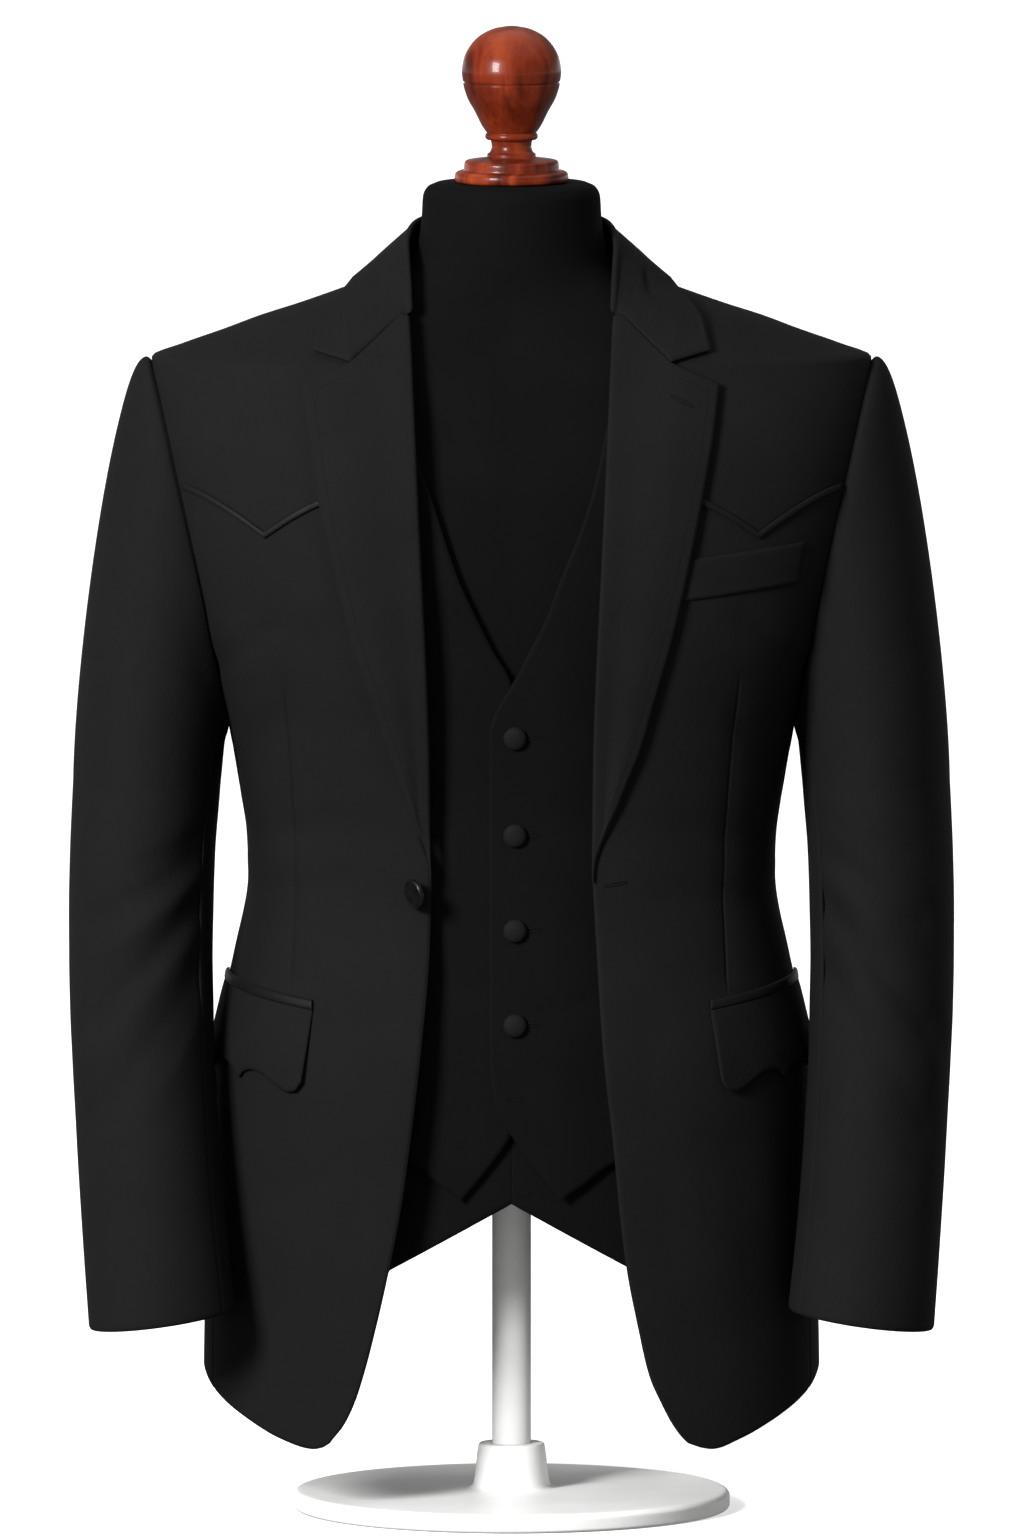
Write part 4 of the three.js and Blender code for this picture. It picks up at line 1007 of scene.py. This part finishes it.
def pocket_jet(side, sign):
    share = np.linspace(0, 1, 11)[:, None]
    along = np.linspace(0, POCKET["length"], 90)[None]
    crown = 1.1 * np.sqrt(np.clip(1 - (2 * share - 1) ** 2, 0, 1)) - 0.4
    lift = LIE + LIGHT_CLOTH + crown + 0 * along
    grids = [hip_place(along, share * POCKET["jet"], lift - deep) for deep in (0, LIGHT_CLOTH)]
    shell(f"pocket_jet_{side}", *grids, SATIN, (), sign)


def flap_place(along, share, lift):
    down = POCKET["jet"] + SEAM + share * flap_drop(along)
    lean = FLAP_LEAN * share * (1 - 2 * along / POCKET["length"])
    ends = bell(along, 12) + bell(POCKET["length"] - along, 12)
    return hip_place(along + lean, down, lift + share * (1.6 + 1.4 * ends))


def pocket_flap(side, sign):
    share = spread(34, (0.01, 0.02))[:, None]
    along = spread(96, (0.004, 0.01))[None] * POCKET["length"]
    grids = [flap_place(along, share, LIE + LIGHT_CLOTH - deep) for deep in (0, LIGHT_CLOTH)]
    shell(f"pocket_flap_{side}", *grids, SUITING, ("last row", "first column", "last column"), sign)


# ---- Sleeves ----

SLEEVE_TOP, CUFF_HEIGHT, CUFF_LEAN = 470, 133, 6.5
FRONT_SEAM, BACK_SEAM = 32, 269
sleeve_middle, sleeve_half, sleeve_ahead, sleeve_depth = columns(
    [
        (118, 222, 47, 95, 51), (134, 223.2, 46.6, 92, 52), (167, 226.3, 46, 84, 53.5),
        (199, 229, 45.6, 75, 55), (231, 231.4, 45.4, 66, 57), (263, 233.4, 45.3, 56, 59),
        (295, 235.2, 45.4, 47, 61), (327, 236.3, 45.9, 38, 63), (360, 237, 46, 28, 65),
        (392, 236.8, 46.4, 20, 67), (424, 236, 46.6, 12, 69), (456, 234.1, 47.2, 5, 71),
        (470, 233.2, 47.4, 2, 72),
    ]
)
# A degree round the sleeve in mm, and how a crease fades beyond its ends.
TURN_MM, CREASE_FADE = 0.95, 16
# Creases: from one place to another (degrees round from the inner side, height), depth, half width.
CREASES = [
    (48, 424, 120, 388, 3, 12),
    (42, 392, 128, 322, 3.5, 13),
    (40, 352, 132, 262, 2.5, 12),
    (236, 372, 320, 398, 3, 13),
    (230, 338, 318, 352, 2.5, 12),
]
# Finer ones, other on each sleeve; a ridge where the depth is below 0.
FINE_CREASES = {
    "r": [
        (44, 408, 112, 372, -1.2, 7),
        (50, 372, 138, 300, -1.4, 8),
        (40, 440, 96, 420, 1.0, 7),
        (44, 330, 110, 250, 0.9, 8),
        (60, 300, 128, 236, -0.8, 8),
        (30, 600, 80, 560, 1.0, 10),
        (240, 400, 300, 420, 1.0, 8),
        (238, 318, 300, 330, 0.9, 8),
    ],
    "l": [
        (46, 412, 116, 380, -1.1, 8),
        (46, 376, 130, 306, -1.2, 7),
        (52, 446, 104, 430, 0.9, 8),
        (48, 318, 120, 240, 1.0, 9),
        (70, 286, 134, 214, -0.7, 8),
        (34, 596, 86, 552, 1.1, 10),
        (244, 408, 306, 424, 0.9, 8),
        (236, 310, 296, 326, 1.0, 9),
    ],
}


def sleeve_ring(turn, height):
    angle = np.radians(turn)
    lean = CUFF_LEAN * (SLEEVE_TOP - height) / (SLEEVE_TOP - CUFF_HEIGHT)
    x = sleeve_middle(height) - sleeve_half(height) * np.cos(angle)
    y = -sleeve_ahead(height) - sleeve_depth(height) * np.sin(angle)
    return np.stack(np.broadcast_arrays(x, y, height + lean * np.cos(angle)), -1)


def sleeve_point(turn, share):
    """A point of the sleeve: share 0 to 1 is the head, from the armhole's seam, and 1 to 2 the arm."""
    turn, share = np.broadcast_arrays(turn, share)
    arm = sleeve_ring(turn, lerp(SLEEVE_TOP, CUFF_HEIGHT, np.clip(share - 1, 0, 1)))
    angle = np.radians(turn)
    height = ARM_MIDDLE - ARM_HEIGHT * np.cos(angle)
    high = (1 - np.cos(angle)) / 2
    seam = np.stack([armhole_out(height) + SEAM, -ARM_REACH * np.sin(angle), height], -1)
    end = sleeve_ring(turn, np.full(turn.shape, float(SLEEVE_TOP)))
    leave = np.stack([lerp(8, 60, high), -22 * np.sin(angle), lerp(-30, 55, high**2)], -1)
    arrive = np.stack([4 + 0 * angle, -6 * np.sin(angle), -lerp(33, 260, high)], -1)
    t = np.minimum(share, 1)[..., None]
    back = 1 - t
    head = seam * (1 + 2 * t) * back**2 + leave * t * back**2
    head += end * t**2 * (3 - 2 * t) - arrive * t**2 * back
    return np.where(share[..., None] > 1, arm, head)


def on_sleeve(side, turn, share, lift=0.0):
    around = sleeve_point(turn + 1, share) - sleeve_point(turn - 1, share)
    down = sleeve_point(turn, np.minimum(2, share + 0.01)) - sleeve_point(turn, np.maximum(0, share - 0.01))
    point = sleeve_point(turn, share)
    creases = [(a * TURN_MM, z0, b * TURN_MM, *rest) for a, z0, b, *rest in CREASES + FINE_CREASES[side]]
    dent = fold_depth(creases, turn * TURN_MM, point[..., 2], CREASE_FADE) * ease(share, 0.9, 1.05)
    swell = 0.9 * ease(share, 0, 0.06) * (1 - ease(share, 0.1, 0.35))
    return point + unit(np.cross(down, around)) * (lift + swell - dent)[..., None]


def sleeve_piece(name, side, sign, first, last, count):
    share = np.concatenate([spread(74, (0.002, 0.006)) ** 1.25, 1 + np.linspace(0, 1, 124)[1:]])
    share = np.unique(np.concatenate([share, [1.997, 1.991]]))[:, None]
    turn = lerp(first + 0.2, last - 0.2, spread(count, EDGE_NEAR))[None]
    dip = rolled((turn - first) * 0.9) + rolled((last - turn) * 0.9) + 0 * share
    grids = [on_sleeve(side, turn + 0 * share, share + 0 * turn, dip - deep) for deep in (0, JACKET_CLOTH)]
    shell(f"{name}_{side}", *grids, SUITING, ("last row",), sign)


# ---- Vest ----

VEST_EDGE = by_side(
    "lr",
    [
        (209, 32.3, 33), (228, 17, 17), (251, 0.3, 1), (270, -10.6, -8), (305, -14, -10), (508, -14.4, -10),
        (519, -11.8, -7), (528, -7.4, -3), (544, 2.2, 1.5), (563, 11.8, 12.6), (582, 21.4, 22),
        (608, 31, 34), (631, 40.6, 42), (659, 50.2, 51), (685, 56.6, 59.8), (704, 60.5, 64), (745, 72, 73),
        (790, 84, 84),
    ],
)
vest_hem = smooth([(0, 209), (0.12, 218), (0.3, 236), (0.6, 250), (1, 254)])
vest_armhole = smooth([(500, 161), (530, 150), (570, 142), (620, 138), (690, 139), (730, 143), (770, 150)])
VEST_ARMPIT, VEST_TOP, VEST_HEM = 495, 780, 254
VEST_LAP_LIFT, VEST_LAP_FULL, VEST_LAP_GONE = 2, 25, 62


def vest_side(height, front):
    quarter, hole = quarter_and_hole(VEST, vest_armhole, height, front)
    return np.where(height <= VEST_ARMPIT, quarter, hole)


def vest_lift(side, x):
    return VEST_LAP_LIFT * (1 - ease(x, VEST_LAP_FULL, VEST_LAP_GONE)) if side == "l" else 0 * x


def on_vest(side, x, height, lift=0.0):
    """A place on the vest's front, on the piece of one side."""
    return VEST.lay(VEST.angle_at(x, height), height, vest_lift(side, x) + lift)


def vest_front(side, sign):
    waist = spread(88, ROW_NEAR)[:-1, None]
    chest = spread(90, ROW_NEAR)[:, None]
    u = spread(56, EDGE_NEAR)[None]
    chest = lerp(VEST_ARMPIT, VEST_TOP, chest) + 0 * u
    height = np.concatenate([lerp(vest_hem(u), VEST_ARMPIT, waist), chest])
    u = np.broadcast_to(u, height.shape)
    angle = lerp(VEST.angle_at(VEST_EDGE[side](height), height), vest_side(height, True), u**1.3)
    place = angle, height, vest_lift(side, VEST.at(angle, height)[..., 0])
    free = ("first row", "first column")
    panel(f"vest_front_{side}", VEST, *place, LIGHT_CLOTH, PAINTED_SHADE_SUITING, free, sign)


def vest_back():
    height = [np.linspace(VEST_HEM, VEST_ARMPIT, 48)[:-1], np.linspace(VEST_ARMPIT, VEST_TOP, 58)]
    height = np.concatenate(height)
    u = spread(80, (0.002, 0.005))[None]
    side = vest_side(height, False)[:, None]
    angle = lerp(side, 2 * np.pi - side, u)
    height = height[:, None] + 0 * u
    panel("vest_back", VEST, angle, height, 0.0, LIGHT_CLOTH, PAINTED_SHADE_SUITING, ("first row",))


# ---- Trouser tops ----

TROUSER_PEAK, TROUSER_SLOPE, TROUSER_MIDDLE, WAIST_TOP = 207, 0.556, 0.05, 430


def trouser_panel(side, sign, front):
    t = spread(64, ROW_NEAR)[:, None]
    u = spread(48, EDGE_NEAR)[None]
    seam = np.pi / 2 + (-SEAM_ANGLE if front else SEAM_ANGLE)
    peak = np.full_like(u, float(TROUSER_PEAK))
    x = TROUSERS.at(lerp(TROUSERS.angle_at(TROUSER_MIDDLE, peak, front), seam, u), peak)[..., 0]
    height = lerp(TROUSER_PEAK - TROUSER_SLOPE * x, WAIST_TOP, t)
    u = np.broadcast_to(u, height.shape)
    angle = lerp(TROUSERS.angle_at(TROUSER_MIDDLE, height, front), seam, u)
    dip = rolled(u * TROUSER_SPAN, 0.3) + rolled((1 - u) * TROUSER_SPAN, 0.3)
    name = f"trouser_{'front' if front else 'back'}_{side}"
    panel(name, TROUSERS, angle, height, dip, LIGHT_CLOTH, PAINTED_SHADE_SUITING, ("first row",), sign)


# ---- Buttons, form and finial ----


def seated(name, rings, foot, above, material, slot, node_name):
    """A turned piece standing on a surface point, facing out along the surface's normal."""
    axis = unit(above - foot)
    aside = unit(np.cross(axis, [0.0, 0.0, 1.0]))
    up = np.cross(aside, axis)
    points, quads = capped(rings)
    points = foot + points[:, :1] * aside + points[:, 1:2] * up + points[:, 2:] * axis
    piece(name, points, quads, material, [node_name] if node_name else (), points[:, [0, 2]])


# Half sections of a covered button, and of a flat one by its rim's radius and its depth.
DOME_RADIUS, DOME_SIDES = 7.5, 48
DOME = [(0.84, 0), (0.97, 0.35), (1, 1.1), (0.96, 2.2), (0.84, 3.2), (0.62, 4.0), (0.36, 4.45), (0.12, 4.6)]
VEST_BUTTON_X, VEST_BUTTON_HEIGHTS = 2.2, (506.4, 443.4, 382.3, 321.8)
DISC_RADIUS, DISC_DEEP = 9.8, 3.4
DISC_RIM = [(1.2, 0), (0.2, 0.5), (0, 1.4), (0.1, 2.5), (0.5, 3.1), (1.1, DISC_DEEP)]
DISC_FACE = [(1.7, DISC_DEEP - 0.05), (2.4, DISC_DEEP - 0.25), (5, DISC_DEEP - 0.2), (8.8, DISC_DEEP - 0.1)]
JACKET_BUTTON = {"x": -59.4, "height": 407.5, "tilt": math.radians(55), "leans": np.array([-0.96, 0, -0.26])}


def vest_buttons():
    """Domes of gathered cloth, their foot slightly pleated."""
    turn = np.linspace(0, 2 * np.pi, DOME_SIDES, endpoint=False)
    profile = rounded([(radius * DOME_RADIUS, height) for radius, height in DOME])
    for i, height in enumerate(VEST_BUTTON_HEIGHTS):
        place = [on_vest("l", np.array(VEST_BUTTON_X), np.array(height), lift) for lift in (SEAM + 0.3, 9)]
        rings = turned(profile, DOME_SIDES)
        low = np.clip(1 - rings[..., 2] / 1.6, 0, 1)
        rings[..., :2] *= (1 + 0.012 * low * np.cos(11 * turn + i) * np.cos(3 * turn + 2 * i))[..., None]
        name = f"vest_button_{i + 1}"
        seated(name, rings, *place, COVERED, "covered_button", name)


def jacket_button():
    """A flat button tipped to the side on its thread."""
    disc = rounded([(DISC_RADIUS - inward, height) for inward, height in DISC_RIM + DISC_FACE])
    x, height, tilt, leans = (np.array(value) for value in JACKET_BUTTON.values())
    stands = (DISC_RADIUS - 1) * np.sin(tilt) + 2 * SEAM
    cloth, foot, out = (on_front(x, height, lift) for lift in (0, stands, 9))
    facing = unit(out - foot) * np.cos(tilt) + leans * np.sin(tilt)
    seated("jacket_button", turned(disc, 64), foot, foot + facing, HORN, "horn", "jacket_button")
    long = np.linalg.norm(foot - cloth)
    shank = [(1.5, 0.1), (1.1, 0.5), (1.0, long / 2), (1.1, long - 0.5), (1.5, long + 0.4)]
    seated("jacket_button_shank", turned(rounded(shank), 20), cloth, foot, THREAD, "suiting", None)


def form_torso():
    height = [np.linspace(222, 800, 150), np.linspace(803, 843, 22), np.linspace(844, 852.5, 12)]
    height = np.concatenate(height)
    turn = np.linspace(0, 2 * np.pi, 120, endpoint=False)
    rings = FORM.at(turn[None] + 0 * height[:, None], height[:, None] + 0 * turn[None])
    points, quads = capped(rings)
    flow = np.concatenate([flow_of(rings), [[0, 0], [0, 700]]])
    cover = piece("form_torso_cover", points, quads, FORM_CLOTH, ["form_torso"], flow)


CAP_FOOT = 852.8
FINIAL_FOOT = CAP_FOOT + 27.3
NECK_CAP = [
    (34.5, 0), (36.2, 1.2), (36.4, 3), (36.2, 5), (35, 6.6), (33.2, 7.3), (30.7, 7.6), (30.4, 8.4),
    (30.2, 12), (29.2, 13.8), (26, 14.6), (18, 15.6), (15.6, 16.4), (15.5, 18), (13.8, 19.4), (12.7, 23),
    (13, 25.6), (13.4, 27),
]
FINIAL = [
    (15.6, 0), (16.6, 1), (16.9, 2.2), (16.5, 3.6), (15.8, 4.4), (16.4, 5.2), (19, 9), (23.5, 18),
    (28.4, 27), (30.7, 34.4), (30.9, 35.8), (30.1, 36.3), (30.1, 36.9), (31, 37.5), (31.6, 41), (31.8, 44),
    (30.5, 52), (26.5, 60), (19.5, 67), (10.5, 71.2), (3, 72.6),
]


def turned_wood():
    for name, profile, foot in (("neck_cap", NECK_CAP, CAP_FOOT), ("finial", FINIAL, FINIAL_FOOT)):
        rings = turned(rounded(profile, 4), 112)
        rings[..., 2] += foot
        points, quads = capped(rings)
        piece(f"{name}_turned", points, quads, WOOD, [name])


# Half sections of the painted stand, with a bead where the plate's rim and the hub turn.
STAND_TOP = 221.7
STAND = {
    "stand_base": [
        (1, 0), (130, 0), (137.4, 0), (138.6, 0.4), (139.6, 1.3), (140, 2.4), (140, 8.6), (139.5, 9.9),
        (138.3, 11.2), (136, 12), (120, 12.1), (60, 12.6), (29, 12.9), (26, 13.8), (24.4, 16.2), (23.8, 19),
        (21.4, 40), (20.9, 41.4), (19.8, 42), (13.6, 42), (12.8, 41.2), (12.8, 14), (1, 14),
    ],
    "stand_pole": [
        (1, 14.3), (12.1, 14.3), (12.5, 14.8), (12.5, 40), (12.5, 130), (12.5, STAND_TOP - 13),
        (13, STAND_TOP - 9.6), (14.6, STAND_TOP - 6.6), (17.6, STAND_TOP - 5.2), (30, STAND_TOP - 5),
        (43.8, STAND_TOP - 5), (44.8, STAND_TOP - 4.2), (45, STAND_TOP - 3), (45, STAND_TOP - 0.8),
        (44.4, STAND_TOP), (1, STAND_TOP),
    ],
}


def stand():
    for name, profile in STAND.items():
        points, quads = capped(turned(rounded(profile, 3), 112))
        piece(f"{name}_painted", points, quads, PAINT, [name])


# ---- Sewing ----


def stitched(name, place, long=1.1, gap=0.9, wide=0.5, proud=0.2):
    """A run of stitches; place(lift) gives the points of their line at some lift off the cloth."""
    line, above = place(0.0), place(1.0)
    gone = np.concatenate([[0], np.linalg.norm(np.diff(line, axis=0), axis=-1).cumsum()])
    starts = np.arange(0.5, gone[-1] - long, long + gap)

    def read(values, at):
        return np.stack([np.interp(at, gone, values[:, k]) for k in range(3)], -1)

    normals = unit(above - line)
    around = np.radians(np.arange(0, 360, 60))
    girth = ((0, 0.25), (0.18, 0.85), (0.5, 1), (0.82, 0.85), (1, 0.25))
    rings = []
    for share, size in girth:
        middle = read(line, starts + share * long)
        normal = unit(read(normals, starts + share * long))
        along = unit(read(line, starts + long) - read(line, starts))
        aside = np.cross(along, normal)
        ring = middle[:, None] + aside[:, None] * (np.cos(around) * wide / 2 * size)[None, :, None]
        rings.append(ring + normal[:, None] * (0.05 + np.sin(around) * proud * size)[None, :, None])
    points, quads = [], []
    for one in np.stack(rings, 1):
        some, faces = capped(one)
        quads.append(faces + sum(map(len, points)))
        points.append(some)
    piece(name, np.concatenate(points), np.concatenate(quads), THREAD)


def buttonhole(name, place, start, end, wide=1.5):
    """A worked buttonhole: a flat oval of thread round a slit. place(x, height, lift) is on the cloth."""
    (x0, z0), (x1, z1) = start, end
    long = math.hypot(x1 - x0, z1 - z0)
    ux, uz = (x1 - x0) / long, (z1 - z0) / long
    turn = np.linspace(0, 2 * np.pi, 96, endpoint=False)
    along = np.clip(np.cos(turn) * 1.15, -1, 1) * long / 2
    aside = np.sin(turn) * wide / 2
    x = (x0 + x1) / 2 + ux * along - uz * aside
    z = (z0 + z1) / 2 + uz * along + ux * aside
    line, above = place(x, z, 0.0), place(x, z, 1.0)
    normal = unit(above - line)
    out = unit(line - line.mean(0))
    section = np.radians(np.arange(0, 360, 45))
    bead = 1 + 0.18 * np.cos(turn * 30)
    rings = line[:, None] + out[:, None] * (np.cos(section)[None] * 0.45 * bead[:, None])[..., None]
    rings = rings + normal[:, None] * (0.12 + np.sin(section)[None] * 0.4 * bead[:, None])[..., None]
    count = len(section)
    quads = grid_quads(len(turn) + 1, count, closed=True)[:, ::-1] % (len(turn) * count)
    piece(name, rings.reshape(-1, 3), quads, THREAD)


# How far in from its edge, or above its seam, each run of stitches is.
LAPEL_INSET, YOKE_INSET, VEST_INSET = 7.0, 4.1, 11
LAPEL_RUN_END, HOLE_SHARE = 0.985, 0.93
VEST_HOLES = [(6, 18.5, height) for height in VEST_BUTTON_HEIGHTS] + [(-4, 7.5, 275)]
FLY = [(15.8, 238), (15.7, 230), (15, 222), (13.2, 216.8), (9.6, 214.6), (5.9, 213.2), (2.2, 210.6)]


def on_trousers(x, height, lift):
    return TROUSERS.lay(TROUSERS.angle_at(x, height), height, lift)


def on_left_vest(x, height, lift):
    return on_vest("l", x, height, lift)


def on_left_lapel(x, height, lift):
    """A place near the left lapel's buttonhole, whose share along the lapel is found in a few steps."""
    u = (x - 63.0 - LAPEL_TURN) / (lapel_width("l", np.array(HOLE_SHARE)) - LAPEL_TURN)
    v = np.full_like(u, HOLE_SHARE)
    for _ in range(12):
        v = v - (lapel_height(u, v) - height) / 330
    return on_lapel("l", v, u, lift)


def side_stitches(side, sign):
    JACKET.side = VEST.side = sign
    v = np.linspace(0.13, LAPEL_RUN_END, 400)
    u = 1 - LAPEL_INSET / np.maximum(lapel_width(side, v), LAPEL_INSET + 1)
    top_v, top_u = np.full(120, LAPEL_RUN_END - 0.008), np.linspace(0.56, 0.9, 120)
    x = np.linspace(127, 208, 300)
    height = np.linspace(520, 770, 500)
    edge = VEST_EDGE[side](height) + VEST_INSET
    runs = {
        "lapel_stitches": lambda lift: on_lapel(side, v, u, lift),
        "lapel_top_stitches": lambda lift: on_lapel(side, top_v, top_u, lift),
        "yoke_stitches": lambda lift: on_front(x, yoke_seam(x) + YOKE_INSET, lift),
        "vest_stitches": lambda lift: on_vest(side, edge, height, lift),
    }
    for name, place in runs.items():
        stitched(f"{name}_{side}", lambda lift, place=place: place(lift) * [sign, 1, 1])


def sewing():
    for side, sign in SIDES.items():
        side_stitches(side, sign)
    for i, (x0, x1, height) in enumerate(VEST_HOLES):
        buttonhole(f"vest_buttonhole_{i + 1}", on_left_vest, (x0, height), (x1, height + 0.6), 2.1)
    buttonhole("jacket_buttonhole", on_front, (59.5, 411.5), (73.5, 414.0), 1.8)
    buttonhole("lapel_buttonhole", on_left_lapel, (100.5, 722.5), (114, 715.5), 1.7)
    fine = np.linspace(0, len(FLY) - 1, 80)
    x, height = (smooth(list(enumerate(column)))(fine) for column in zip(*FLY))
    stitched("fly_stitches", lambda lift: on_trousers(x, height, lift))
    buttonhole("fly_tack", on_trousers, (6.2, 212.2), (12.8, 214.8), 1.5)


# ---- The whole ----

for side, sign in SIDES.items():
    JACKET.side = VEST.side = sign
    jacket_front(side, sign)
    jacket_yoke(side, sign)
    jacket_back(side, sign)
    lapel(side, sign)
    yoke_piping(side, sign)
    pocket_jet(side, sign)
    pocket_flap(side, sign)
    sleeve_piece("sleeve_upper", side, sign, FRONT_SEAM, BACK_SEAM, 60)
    sleeve_piece("sleeve_under", side, sign, BACK_SEAM, FRONT_SEAM + 360, 42)
    vest_front(side, sign)
    trouser_panel(side, sign, True)
    trouser_panel(side, sign, False)
collar()
breast_welt()
vest_back()
vest_buttons()
jacket_button()
form_torso()
turned_wood()
sewing()
stand()

# ---- Floor, light and camera ----

CAMERA_LIFT = math.asin(0.0993)
CAMERA_AWAY = 20.0
FRAME_TALL = 1536 * 0.64 * MM
AIM = Vector((0.0003, 0.0, 0.4766))


def lit(name, place, aim, size, power):
    light = bpy.data.lights.new(name, "AREA")
    light.shape = "RECTANGLE"
    light.size, light.size_y = size
    light.energy = power
    obj = placed(name, light, place, Vector(aim) - Vector(place))
    obj.visible_camera = False


# The sky's light by height, from straight down (0) over the horizon (0.5) to straight up (1).
SKY_LOW, SKY_BAND, SKY_TOP = 0.26, 1.3, 1.2
SKY = [(0, SKY_LOW), (0.46, SKY_LOW), (0.475, SKY_BAND), (0.525, SKY_BAND)]
SKY += [(0.54, SKY_LOW), (0.78, SKY_LOW), (0.9, SKY_TOP)]
FLOOR_REACH = 30.0
FLOOR_SOCKETS = {
    "Roughness": 0.9,
    "Specular IOR Level": 0.0,
    "Emission Color": (1, 1, 1, 1),
    "Emission Strength": 0.5,
}


def pale_floor():
    mesh = bpy.data.meshes.new("floor")
    corners = [(x * FLOOR_REACH, y * FLOOR_REACH, 0) for x, y in ((-1, -1), (1, -1), (1, 1), (-1, 1))]
    mesh.from_pydata(corners, [], [(0, 1, 2, 3)])
    floor = placed("floor", mesh)
    material, tree, shader = new_material("floor", FLOOR_SOCKETS)
    speckle = node(tree, "ShaderNodeTexNoise", {"Scale": 300.0}).outputs["Fac"]
    colour = ramp(tree, speckle, 0.3, 0.7, [(0, grey(0.93)), (1, grey(0.95))])
    tree.links.new(colour, shader.inputs["Base Color"])
    mesh.materials.append(material)
    floor.visible_diffuse = floor.visible_glossy = False


def sky():
    world = bpy.data.worlds.new("studio")
    world.use_nodes = True
    tree = world.node_tree
    background = next(n for n in tree.nodes if n.type == "BACKGROUND")
    toward = node(tree, "ShaderNodeTexCoord").outputs["Generated"]
    height = node(tree, "ShaderNodeSeparateXYZ", {"Vector": toward}).outputs["Z"]
    half = remapped(tree, height, {"From Min": -1.0})
    colour = ramp(tree, half, 0, 1, [(place, grey(level / SKY_TOP)) for place, level in SKY])
    tree.links.new(colour, background.inputs["Color"])
    background.inputs["Strength"].default_value = SKY_TOP
    bpy.context.scene.world = world


def far_camera():
    camera = bpy.data.cameras.new("camera")
    camera.lens = 36 * CAMERA_AWAY / FRAME_TALL
    camera.clip_end = 200
    back = Vector((0, -math.cos(CAMERA_LIFT), math.sin(CAMERA_LIFT)))
    bpy.context.scene.camera = placed("camera", camera, AIM + back * CAMERA_AWAY, -back)


pale_floor()
sky()
lit("key", (-2.2, -2.8, 1.85), (0, 0, 0.55), (1.0, 1.0), 272)
far_camera()
bpy.context.scene.view_settings.view_transform = "Standard"
